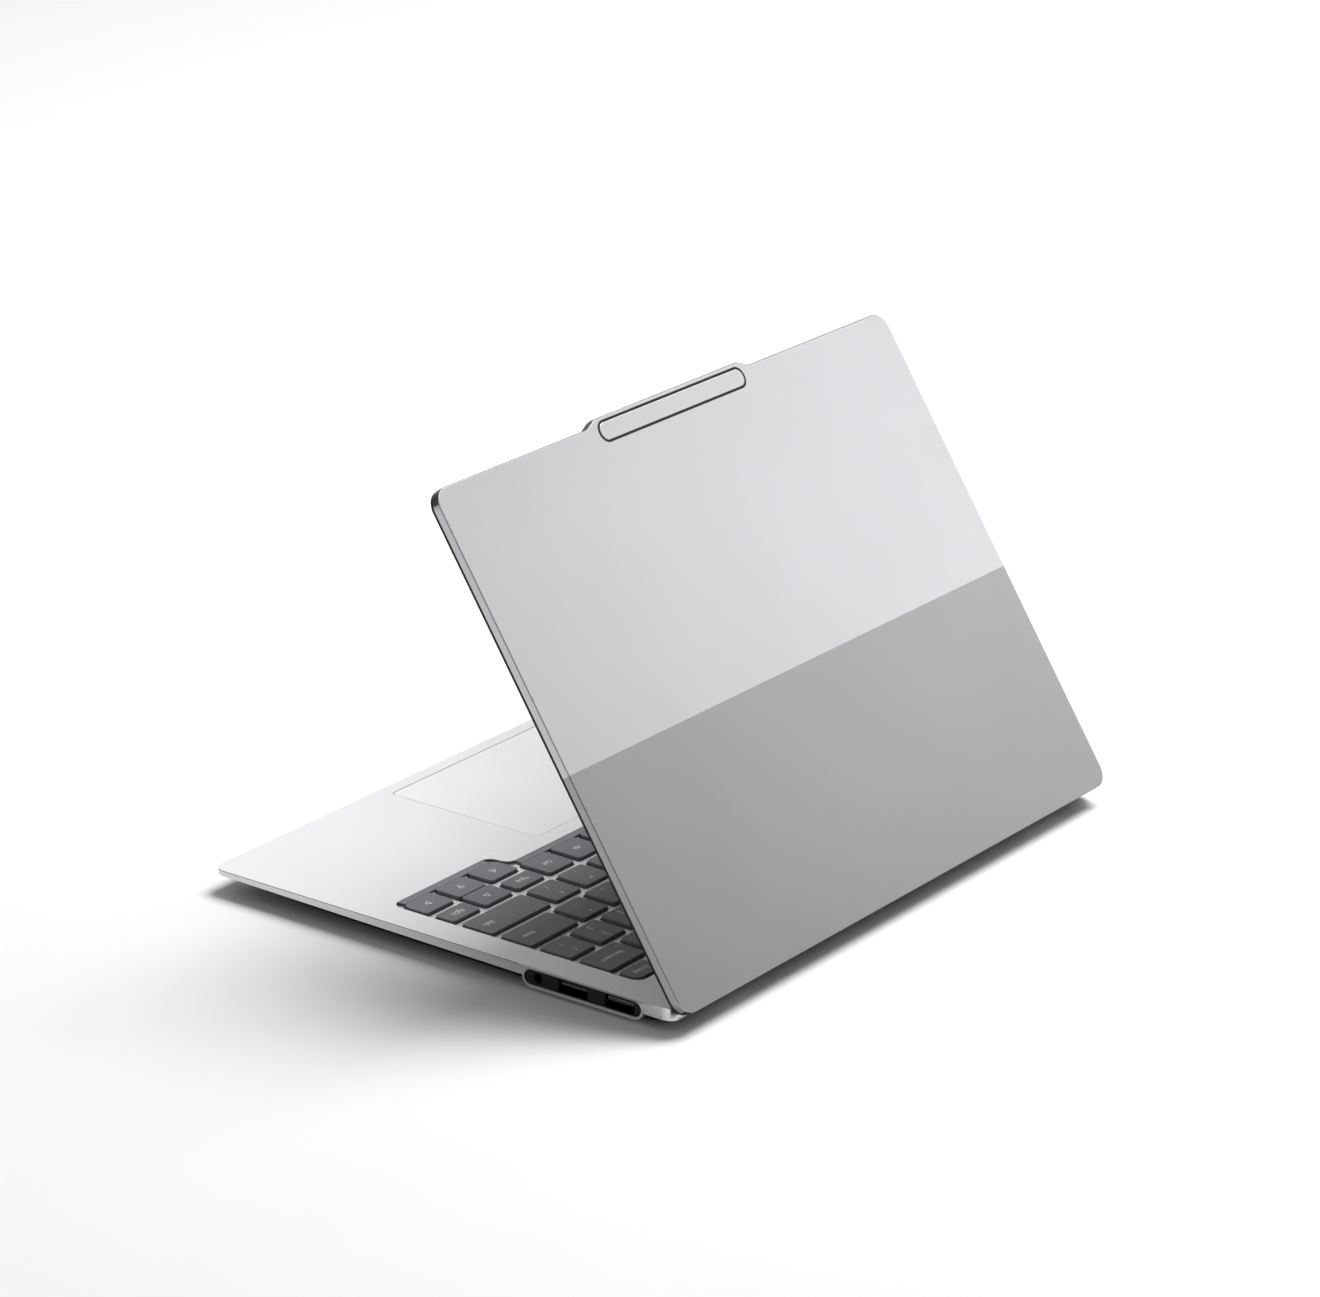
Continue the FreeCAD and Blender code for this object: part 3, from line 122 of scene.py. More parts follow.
@dataclass(frozen=True)
class Finish:
    """Surface of one real material, with grain from how it was made and faint uneven colour.

    Attributes:
        name: Name of the material and its making.
        colour: sRGB hex colour.
        roughness: Middle roughness.
        metallic: 1 for bare metal, 0 for the rest.
        grain: Size of the surface grain in millimetres.
        relief: Height of that grain in millimetres.
        uneven: Share by which the colour wanders.
        patch: Size of that wandering in millimetres.
        stretch: Share to which coordinates are squeezed along each axis; a small one draws the grain out.
        coat: Weight of a clear top layer.
        ior: Index of refraction of a material that isn't metal.
        specular: Strength of the plain reflection.
    """

    name: str
    colour: str
    roughness: float
    metallic: float = 0.0
    grain: float = 0.5
    relief: float = 0.004
    uneven: float = 0.05
    patch: float = 35.0
    stretch: Triple = (1.0, 1.0, 1.0)
    coat: float = 0.0
    ior: float = 1.5
    specular: float = 0.5

    def paint(self, tree: Tree, place: Socket) -> SocketValue:
        """Lays the colour before it wanders.

        Args:
            tree: Node tree of the material.
            place: Object coordinates.

        Returns:
            The colour, or the output that holds it.
        """
        return linear(self.colour)[:3]

    def build(self) -> Material:
        """Builds the material.

        Returns:
            The new material.
        """
        material = bpy.data.materials.new(self.name)
        material.use_nodes = True
        tree = material.node_tree
        tree.nodes.clear()
        place = add_node(tree, "ShaderNodeTexCoord").outputs["Object"]
        squeezed = add_node(tree, "ShaderNodeVectorMath", {0: place, 1: self.stretch}, operation="MULTIPLY")
        grain = add_node(tree, "ShaderNodeTexNoise", {
            "Vector": squeezed.outputs[0], "Scale": 1 / (self.grain * MM), "Detail": 2.0}).outputs["Fac"]
        patch = add_node(tree, "ShaderNodeTexNoise", {
            "Vector": place, "Scale": 1 / (self.patch * MM), "Detail": 3.0}).outputs["Fac"]
        wander = add_node(tree, "ShaderNodeMapRange", {
            "Value": patch, "From Min": PATCH_RANGE[0], "From Max": PATCH_RANGE[1],
            "To Min": 1 - self.uneven, "To Max": 1 + self.uneven}).outputs[0]
        speck = add_node(tree, "ShaderNodeMapRange", {
            "Value": grain, "From Min": GRAIN_RANGE[0], "From Max": GRAIN_RANGE[1],
            "To Min": 1 - self.uneven / 2, "To Max": 1 + self.uneven / 2}).outputs[0]
        shade = add_node(tree, "ShaderNodeMath", {0: wander, 1: speck}, operation="MULTIPLY").outputs[0]
        colour = add_node(tree, "ShaderNodeVectorMath", {
            0: self.paint(tree, place), "Scale": shade}, operation="SCALE").outputs[0]
        rough = add_node(tree, "ShaderNodeMapRange", {
            "Value": grain, "From Min": GRAIN_RANGE[0], "From Max": GRAIN_RANGE[1],
            "To Min": self.roughness * (1 - ROUGH_CHANGE),
            "To Max": min(self.roughness * (1 + ROUGH_CHANGE), 1.0)}).outputs[0]
        bump = add_node(tree, "ShaderNodeBump", {"Height": grain, "Distance": self.relief * MM})
        shader = add_node(tree, "ShaderNodeBsdfPrincipled", {
            "Base Color": colour, "Roughness": rough, "Normal": bump.outputs[0], "Metallic": self.metallic,
            "IOR": self.ior, "Coat Weight": self.coat, "Specular IOR Level": self.specular})
        add_node(tree, "ShaderNodeOutputMaterial", {"Surface": shader.outputs[0]})
        return material


@dataclass(frozen=True)
class SplitFinish(Finish):
    """Finish that changes colour along a straight line across the piece.

    Attributes:
        beyond: sRGB hex colour past the line.
        along: Direction, in the frame, from the first colour to the second.
        line: Distance of the line along that direction, in metres.
        soft: Width of the change in millimetres.
    """

    beyond: str = "#FFFFFF"
    along: Triple = (0.0, 0.0, 1.0)
    line: float = 0.0
    soft: float = 0.08

    def paint(self, tree: Tree, place: Socket) -> SocketValue:
        """Lays the two colours.

        Args:
            tree: Node tree of the material.
            place: Object coordinates.

        Returns:
            The output that holds the colour.
        """
        reach = add_node(tree, "ShaderNodeVectorMath", {0: place, 1: self.along}, operation="DOT_PRODUCT")
        share = add_node(tree, "ShaderNodeMapRange", {
            "Value": reach.outputs["Value"], "From Min": self.line - self.soft * MM / 2,
            "From Max": self.line + self.soft * MM / 2})
        mix = add_node(tree, "ShaderNodeMix", {
            0: share.outputs[0], 6: linear(self.colour), 7: linear(self.beyond)}, data_type="RGBA")
        return mix.outputs[2]


@dataclass(frozen=True)
class BoardFinish(Finish):
    """Circuit board: solder mask over a net of copper tracks.

    Attributes:
        track: sRGB hex colour of the mask over copper.
        pitch: Spacing of the tracks in millimetres.
        border: Shares of the pitch between which bare mask turns to track.
    """

    track: str = "#2C7A4C"
    pitch: float = 3.0
    border: Pair = (0.42, 0.46)

    def paint(self, tree: Tree, place: Socket) -> SocketValue:
        """Lays mask and tracks.

        Args:
            tree: Node tree of the material.
            place: Object coordinates.

        Returns:
            The output that holds the colour.
        """
        cells = add_node(tree, "ShaderNodeTexVoronoi", {
            "Vector": place, "Scale": 1 / (self.pitch * MM)}, distance="CHEBYCHEV", feature="F1")
        share = add_node(tree, "ShaderNodeMapRange", {
            "Value": cells.outputs["Distance"], "From Min": self.border[0], "From Max": self.border[1]})
        mix = add_node(tree, "ShaderNodeMix", {
            0: share.outputs[0], 6: linear(self.colour), 7: linear(self.track)}, data_type="RGBA")
        return mix.outputs[2]


class Corner(Enum):
    """Corner of a block seen from above, as its x and y sides."""

    FRONT_LEFT = (-1, -1)
    FRONT_RIGHT = (1, -1)
    REAR_LEFT = (-1, 1)
    REAR_RIGHT = (1, 1)


class Bench:
    """Edit mode on one piece, with selection by place or normal."""

    def __init__(self, piece: Piece) -> None:
        """Keeps the piece and measures it."""
        self.piece = piece
        self.low, self.high = reach(piece)

    def __enter__(self) -> "Bench":
        """Selects the piece alone and enters edit mode."""
        select_only([self.piece])
        bpy.ops.object.mode_set(mode="EDIT")
        return self

    def __exit__(self, *_: object) -> None:
        """Goes back to object mode."""
        bpy.ops.object.mode_set(mode="OBJECT")

    def pick_all(self) -> None:
        """Selects everything."""
        bpy.ops.mesh.select_all(action="SELECT")

    def pick_edges(self, test: Callable[[Edge], bool]) -> None:
        """Selects the edges that pass a test, and nothing else."""
        bpy.ops.mesh.select_mode(type="EDGE")
        self._pick(lambda mesh: mesh.edges, test)

    def pick_faces(self, test: Callable[[Face], bool]) -> None:
        """Selects the faces that pass a test, and nothing else."""
        bpy.ops.mesh.select_mode(type="FACE")
        self._pick(lambda mesh: mesh.faces, test)

    def pick_flat(self, top: bool) -> None:
        """Selects the flat face at the very top or bottom.

        Args:
            top: True for the top, False for the bottom.
        """
        level, sign = (self.high.z, 1) if top else (self.low.z, -1)
        self.pick_faces(lambda face: face.normal.z * sign > ALONG
                        and abs(face.calc_center_median().z - level) < MERGE)

    def _pick(self, kind: Callable, test: Callable) -> None:
        """Deselects all, then selects what passes the test.

        Args:
            kind: Gives the edges or faces of a mesh.
            test: True for an element to select.
        """
        bpy.ops.mesh.select_all(action="DESELECT")
        mesh = bmesh.from_edit_mesh(self.piece.data)
        for element in kind(mesh):
            if test(element):
                element.select_set(True)
        mesh.select_flush_mode()
        bmesh.update_edit_mesh(self.piece.data)


def select_only(pieces: list[Piece]) -> None:
    """Deselects everything, then selects some pieces.

    Args:
        pieces: Pieces to select; the first one becomes active.
    """
    bpy.ops.object.select_all(action="DESELECT")
    for piece in pieces:
        piece.select_set(True)
    bpy.context.view_layer.objects.active = pieces[0]


def block(name: str, low: Vector, high: Vector) -> Piece:
    """Adds a block from its lowest to its highest corner.

    Args:
        name: Name of the piece.
        low: Lowest corner in metres.
        high: Highest corner in metres.

    Returns:
        The block, with its place in its mesh.
    """
    bpy.ops.object.select_all(action="DESELECT")
    bpy.ops.mesh.primitive_cube_add(size=1.0, location=(low + high) / 2)
    made = bpy.context.object
    made.scale = high - low
    made.name = made.data.name = name
    bpy.ops.object.transform_apply(location=True, rotation=True, scale=True)
    return made


def disc(name: str, centre: Vector, radius: float, height: float, sides: int) -> Piece:
    """Adds an upright cylinder on its centre.

    Args:
        name: Name of the piece.
        centre: Middle of the cylinder in metres.
        radius: Radius in metres.
        height: Height in metres.
        sides: Number of sides.

    Returns:
        The cylinder, with its place in its mesh.
    """
    bpy.ops.object.select_all(action="DESELECT")
    bpy.ops.mesh.primitive_cylinder_add(vertices=sides, radius=radius, depth=height, location=centre)
    made = bpy.context.object
    made.name = made.data.name = name
    bpy.ops.object.transform_apply(location=True, rotation=True, scale=True)
    return made


def reach(piece: Piece) -> Box:
    """Returns the lowest and highest corner of a piece's mesh."""
    return spread(vertex.co for vertex in piece.data.vertices)


def spread(points: Iterable[Vector]) -> Box:
    """Returns the lowest and highest corner of some points."""
    axes = list(zip(*[tuple(point) for point in points]))
    return Vector([min(axis) for axis in axes]), Vector([max(axis) for axis in axes])


def round_corners(piece: Piece, radius: float, segments: int,
                  corners: Iterable[Corner] = tuple(Corner)) -> None:
    """Rounds upright corners of a block.

    Args:
        piece: Block to shape.
        radius: Corner radius in metres.
        segments: Number of steps in each corner.
        corners: Corners to round.
    """
    with Bench(piece) as bench:
        ends = {-1: bench.low, 1: bench.high}
        places = [Vector((ends[c.value[0]].x, ends[c.value[1]].y)) for c in corners]

        def at_corner(edge: Edge) -> bool:
            """True for an edge that stands upright at one of the corners."""
            a, b = (vertex.co.xy for vertex in edge.verts)
            return (a - b).length < MERGE and any((a - place).length < MERGE for place in places)

        bench.pick_edges(at_corner)
        bpy.ops.mesh.bevel(offset=radius, segments=segments, affect="EDGES")


def soften_rim(piece: Piece, radius: float, segments: int, top: bool = True) -> None:
    """Rounds the edge round a block's flat top or bottom.

    Args:
        piece: Block to shape.
        radius: Edge radius in metres.
        segments: Number of steps.
        top: True for the top, False for the bottom.
    """
    with Bench(piece) as bench:
        level = bench.high.z if top else bench.low.z
        bench.pick_edges(lambda edge: all(abs(v.co.z - level) < MERGE for v in edge.verts))
        bpy.ops.mesh.bevel(offset=radius, segments=segments, affect="EDGES")


def sink_face(piece: Piece, steps: Iterable[Pair], top: bool = True) -> None:
    """Insets the flat top or bottom of a block step by step.

    Args:
        piece: Block to shape.
        steps: Width of each inset and how far it sinks, in metres.
        top: True for the top, False for the bottom.
    """
    with Bench(piece) as bench:
        bench.pick_flat(top)
        for width, depth in steps:
            bpy.ops.mesh.inset(thickness=width, depth=-depth)


def pill(name: str, low: Vector, high: Vector, segments: int) -> Piece:
    """Makes a block with half-round ends.

    Args:
        name: Name of the piece.
        low: Lowest corner in metres.
        high: Highest corner in metres.
        segments: Number of steps in each quarter round.

    Returns:
        The piece.
    """
    straight = 0.02 * MM
    made = block(name, low, high)
    round_corners(made, (high.y - low.y) / 2 - straight, segments)
    return made


def smooth(piece: Piece, angle: float = 40.0) -> None:
    """Shades a piece smooth except at sharp edges, with flat faces kept flat.

    Args:
        piece: Piece to shade.
        angle: Edges sharper than this, in degrees, stay sharp.
    """
    select_only([piece])
    bpy.ops.object.shade_smooth_by_angle(angle=math.radians(angle))
    weighted = piece.modifiers.new("flat faces stay flat", "WEIGHTED_NORMAL")
    weighted.keep_sharp = True
    weighted.weight = 100
    bpy.ops.object.modifier_apply(modifier=weighted.name)


def solidify(piece: Piece, thickness: float) -> None:
    """Gives a sheet a thickness on the side that its faces look to.

    Args:
        piece: Sheet to thicken.
        thickness: Thickness in metres.
    """
    select_only([piece])
    wall = piece.modifiers.new("thickness", "SOLIDIFY")
    wall.thickness = thickness
    wall.offset = 1.0
    wall.use_even_offset = True
    bpy.ops.object.modifier_apply(modifier=wall.name)


def join(name: str, pieces: list[Piece]) -> Piece:
    """Joins pieces into one.

    Args:
        name: Name of the joined piece.
        pieces: Pieces to join.

    Returns:
        The joined piece.
    """
    select_only(pieces)
    if len(pieces) > 1:
        bpy.ops.object.join()
    pieces[0].name = pieces[0].data.name = name
    return pieces[0]


def copy_of(piece: Piece, name: str, turn: Matrix = Matrix.Identity(4)) -> Piece:
    """Copies a piece with its own mesh, and puts a turn or shift into that mesh.

    Args:
        piece: Piece or CAD node to copy.
        name: Name of the copy.
        turn: Where the copy goes.

    Returns:
        The copy.
    """
    made = bpy.data.objects.new(name, piece.data.copy())
    made.data.name = name
    made.data.transform(turn)
    bpy.context.scene.collection.objects.link(made)
    return made


def refined(node: str) -> Piece:
    """Makes a smooth copy of a CAD node.

    Args:
        node: Name of the node.

    Returns:
        The copy, named for the node.
    """
    flat_angle = math.radians(0.2)
    made = copy_of(NODES[node], node + "_skin")
    with Bench(made) as bench:
        bench.pick_all()
        bpy.ops.mesh.remove_doubles(threshold=MERGE)
        bpy.ops.mesh.dissolve_limited(angle_limit=flat_angle)
    smooth(made)
    return made


def settle(piece: Piece, material: Material, body: str,
           stands_for: Iterable[str] = ()) -> Piece:
    """Gives a piece its finish and body, and the CAD nodes that it stands for.

    Args:
        piece: Finished piece.
        material: Its material.
        body: CAD body that it moves with.
        stands_for: CAD nodes that it replaces.

    Returns:
        The piece.
    """
    piece.data.materials.clear()
    piece.data.materials.append(material)
    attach(piece, body)
    for node in stands_for:
        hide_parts(node)
    log.info("%s rides on %s", piece.name, body)
    return piece


def lid_turn() -> Matrix:
    """Finds how the lid is turned at rest.

    Returns:
        The turn from the closed lid to its place at rest.
    """
    hinge = JOINTS["lid_hinge"]
    pivot = Matrix.Translation(hinge["pos_m"])
    turn = Matrix.Rotation(math.radians(-hinge["range_deg"][0]), 4, Vector(hinge["axis"]))
    return pivot @ turn @ pivot.inverted()


def flat_box(node: str) -> Box:
    """Measures one of the lid's nodes with the lid closed.

    Args:
        node: Name of the node.

    Returns:
        Lowest and highest corner.
    """
    closed = lid_turn().inverted()
    return spread(closed @ vertex.co for vertex in NODES[node].data.vertices)


def solid_boxes(node: str) -> list[Box]:
    """Measures each separate solid of a CAD node.

    Args:
        node: Name of the node.

    Returns:
        Lowest and highest corner of each solid, from left to right.
    """
    whole = copy_of(NODES[node], node + "_parts")
    with Bench(whole) as bench:
        bench.pick_all()
        bpy.ops.mesh.remove_doubles(threshold=MERGE)
        bpy.ops.mesh.separate(type="LOOSE")
    solids = list(bpy.context.selected_objects)
    boxes = [reach(solid) for solid in solids]
    for solid in solids:
        bpy.data.objects.remove(solid)
    return sorted(boxes, key=lambda box: (round(box[0].x, 4), box[0].y))


class Finishes:
    """All the finishes, by the record's slots and for small extras."""

    def __init__(self) -> None:
        """Builds every material once."""
        turn = lid_turn()
        up = turn.to_3x3() @ Vector((0.0, -1.0, 0.0))
        back = flat_box("lid_back_cover")[1]
        foot = turn @ Vector((0.0, back.y, back.z))
        tone_height = 93.1 * MM
        # Bead-blasted and anodised aluminium: an even satin glow with no lines, and a very fine sparkle.
        # The real grit of about 0.1 mm is drawn at 0.35 mm so that it shows.
        blasted = {"metallic": 1.0, "grain": 0.35, "relief": 0.002, "uneven": 0.02}
        looks = {
            "lid_aluminium": SplitFinish(
                "blasted_aluminium_two_tone", "#ABABAC", 0.42, **blasted, patch=60.0, beyond="#D3D3D6",
                along=tuple(up), line=foot.dot(up) + tone_height),
            "deck_aluminium": Finish("blasted_aluminium_silver", "#E3E3E5", 0.5, **blasted, patch=60.0),
            # Matt paint on pressed metal, dark grey as painted shade of the underside, with a faint orange peel
            # and hardly any shine at low angles.
            "hull_paint": Finish(
                "matt_paint_grey_painted_shade", "#343436", 0.75, grain=0.9, relief=0.006, specular=0.05),
            # Moulded ABS keycaps: matt, with the fine spark texture of the mould.
            "keycaps": Finish("moulded_abs_slate", "#86858C", 0.55, grain=0.3, uneven=0.04, patch=20.0),
            # Moulded black plastic: deep black with a soft highlight.
            "black_plastic": Finish("moulded_plastic_black", "#141415", 0.45, grain=0.4, specular=0.3),
            # Hard glass over a dark panel: a clear mirror-like reflection on black.
            "screen_glass": Finish(
                "screen_glass_dark", "#06070A", 0.06, grain=4.0, relief=0.0002, uneven=0.1,
                patch=90.0, coat=0.6),
            # Moulded plastic frame of the panel: dark grey and matt.
            "panel_frame": Finish("moulded_plastic_panel", "#2A2A2A", 0.6, grain=0.6),
            # Rubber: matt, with a soft moulded bloom.
            "black_rubber": Finish("moulded_rubber_black", "#1B1B1B", 0.85, relief=0.01, uneven=0.08),
            # Rolled steel: a dull bright metal with lines along its length.
            "steel": Finish(
                "rolled_steel", "#8C8C8E", 0.32, 1.0, grain=0.25, relief=0.002, stretch=(0.05, 1.0, 1.0)),
            # Solder mask over copper: green, with a soft shine and paler tracks.
            "circuit_board": BoardFinish("solder_mask_green", "#10402A", 0.35, grain=0.6, uneven=0.06),
            # Drawn copper: warm and bright, with faint brown patches.
            "copper": Finish(
                "drawn_copper", "#C7794F", 0.28, 1.0, grain=0.4, relief=0.002, uneven=0.12, patch=12.0),
            # Foil-wrapped pouch cells: dark film with small creases.
            "battery_wrap": Finish(
                "pouch_cell_film", "#2B2C30", 0.38, grain=3.0, relief=0.05, uneven=0.08),
            # Polyimide film of the flat cable: a warm near black with a soft shine.
            "cable_film": Finish("polyimide_film_black", "#201A14", 0.35, grain=1.2),
            # Acid-etched glass backed with silver: as soft a glow as the metal round it, a touch paler.
            "pad_glass": Finish(
                "etched_glass_silver", "#E5E5E7", 0.5, 1.0, grain=0.25, relief=0.001, uneven=0.015),
        }
        self.slots: dict[str, Material] = {slot: look.build() for slot, look in looks.items()}
        # Printed legend: pale grey ink, flat and matt.
        self.ink = Finish("legend_ink_pale", "#F2F2F4", 0.6, grain=0.2, relief=0.001).build()
        # Blasted aluminium plate on the camera bar: the upper lid's tone, with a shallower grit.
        self.bar = Finish(
            "blasted_aluminium_bar", "#D3D3D6", 0.42, 1.0, grain=0.35, relief=0.0015, uneven=0.02).build()
        # Blasted aluminium of the rim, painted a little darker than the deck as shade on its sides.
        self.rim = Finish("blasted_aluminium_rim_painted_shade", "#DADADD", 0.42, **blasted).build()
        # Aluminium of the lid's top edge, painted darker as shade along that edge, with the same fine grit.
        self.edge_painted_shade = Finish("aluminium_edge_painted_shade", "#6C6C6F", 0.42, **blasted).build()
        # Slate lining of the key pocket: the keys' slate, painted a little paler as light on its shaded front
        # wall.
        self.frame = Finish("pale_slate_painted_light", "#8C8B92", 0.6, grain=0.3, uneven=0.04).build()
        # Black nickel plate: dark, with a soft metal sheen.
        self.nickel = Finish("black_nickel_plate", "#2A2A2C", 0.35, 1.0, grain=0.3, relief=0.001).build()
        # Moulded nylon of the tongues: matt grey.
        self.tongue = Finish("moulded_nylon_grey", "#6A6A6C", 0.55, grain=0.3, relief=0.003).build()
        # Gold flash over nickel: warm and bright.
        self.gold = Finish("gold_flash", "#D9B060", 0.22, 1.0, grain=0.3, relief=0.001).build()

    def settle(self, piece: Piece, node: str, material: Material | None = None) -> Piece:
        """Settles a piece that stands for one CAD node.

        Args:
            piece: Finished piece.
            node: Node that it replaces.
            material: Material, where it isn't the one of the node's slot.

        Returns:
            The piece.
        """
        slot = SLOTS[node]
        return settle(piece, material or self.slots[slot], NODE_BODY[node], [node])


@dataclass
class Lid:
    """Lid: two-tone back, camera bar on its tab, screen, gasket and hinge leaves.

    Attributes:
        finishes: The finishes.
        tab_rise: How far the camera tab stands above the lid's top edge.
        bar_edge: Edge radius of the plate on the camera bar.
        tray_floor: Thickness of the tray's floor under that plate.
        tray_lean: How far the tray's wall leans, and the gap under the plate.
        glass_edge: Edge radius of the glass.
        lens_steps: Insets that form the lens, as width and depth.
        turn: Turn from the closed lid to its place at rest.
    """

    finishes: Finishes
    tab_rise: float = 2.6 * MM
    bar_edge: float = 0.2 * MM
    tray_floor: float = 0.05 * MM
    tray_lean: float = 0.01 * MM
    glass_edge: float = 0.1 * MM
    lens_steps: tuple[Pair, ...] = (
        (0.5 * MM, 0.0), (0.1 * MM, 0.1 * MM), (0.3 * MM, -0.04 * MM))
    turn: Matrix = field(default_factory=lid_turn)

    def build(self) -> None:
        """Builds the whole lid."""
        self.build_shell()
        self.build_camera_bar()
        self.build_screen()
        self.build_camera()

    def build_shell(self) -> None:
        """Builds the smooth shells: bezel, gasket, hinge leaves, and the back with dark strips on its edges.

        The tab's shoulders and the lower edge have black strips, and the top edge is painted darker as shade along
        it.
        """
        for node in ("screen_bezel", "lid_gasket", "hinge_leaf_left", "hinge_leaf_right"):
            self.finishes.settle(refined(node), node)
        back = self.finishes.settle(refined("lid_back_cover"), "lid_back_cover")
        back.data.materials.append(self.finishes.slots["black_plastic"])
        back.data.materials.append(self.finishes.edge_painted_shade)
        closed = self.turn.inverted()
        top_edge = flat_box("screen_bezel")[0].y + self.tab_rise
        # Shares of a normal that tell the lid's edges, its lower and top edge, and the tab's shoulders.
        edge, lower, upper, sideways, upwards = 0.6, 0.8, 0.25, 0.15, 0.3
        for face in back.data.polygons:
            out = closed.to_3x3() @ face.normal
            on_shoulder = (closed @ face.center).y < top_edge and abs(out.x) > sideways and out.y < -upwards
            if abs(out.z) < edge and (on_shoulder or out.y > lower):
                face.material_index = 1
            elif out.y < -upper:
                # The top edge's faces take the darker finish: painted shade.
                face.material_index = 2

    def build_camera_bar(self) -> None:
        """Models the plate on the tab and the dark tray that it sits in."""
        low, high = flat_box("camera_bar_trim")
        plate_low, plate_high = flat_box("camera_bar_plate")
        tray = pill("camera_bar_tray", low, high, segments=16)
        sink_face(tray, [(plate_low.x - low.x, 0.0), (self.tray_lean, high.z - low.z - self.tray_floor)])
        self._place(tray, "camera_bar_trim")
        plate_low.z += self.tray_floor + self.tray_lean
        plate = pill("camera_bar_face", plate_low, plate_high, segments=16)
        soften_rim(plate, self.bar_edge, segments=3)
        self._place(plate, "camera_bar_plate", self.finishes.bar)

    def build_screen(self) -> None:
        """Models the glass as a thin slab with a ground edge."""
        low, high = flat_box("display_glass")
        glass = block("display_pane", low, high)
        soften_rim(glass, self.glass_edge, segments=2, top=False)
        self._place(glass, "display_glass")

    def build_camera(self) -> None:
        """Models the lens as a stepped, slightly domed disc that faces the user."""
        low, high = flat_box("camera_lens")
        lens = disc("camera_eye", (low + high) / 2, (high.x - low.x) / 2, high.z - low.z, sides=48)
        sink_face(lens, self.lens_steps, top=False)
        self._place(lens, "camera_lens")

    def _place(self, piece: Piece, node: str, material: Material | None = None) -> None:
        """Opens a piece that was modelled flat, and settles it.

        Args:
            piece: Finished piece, with the lid closed.
            node: Node that it replaces.
            material: Material, where it isn't the one of the node's slot.
        """
        piece.data.transform(self.turn)
        smooth(piece)
        self.finishes.settle(piece, node, material)


class LegendSide(Enum):
    """Where a legend stands on its key, in Blender's words for aligning text."""

    LEFT = "LEFT"
    MIDDLE = "CENTER"
    RIGHT = "RIGHT"


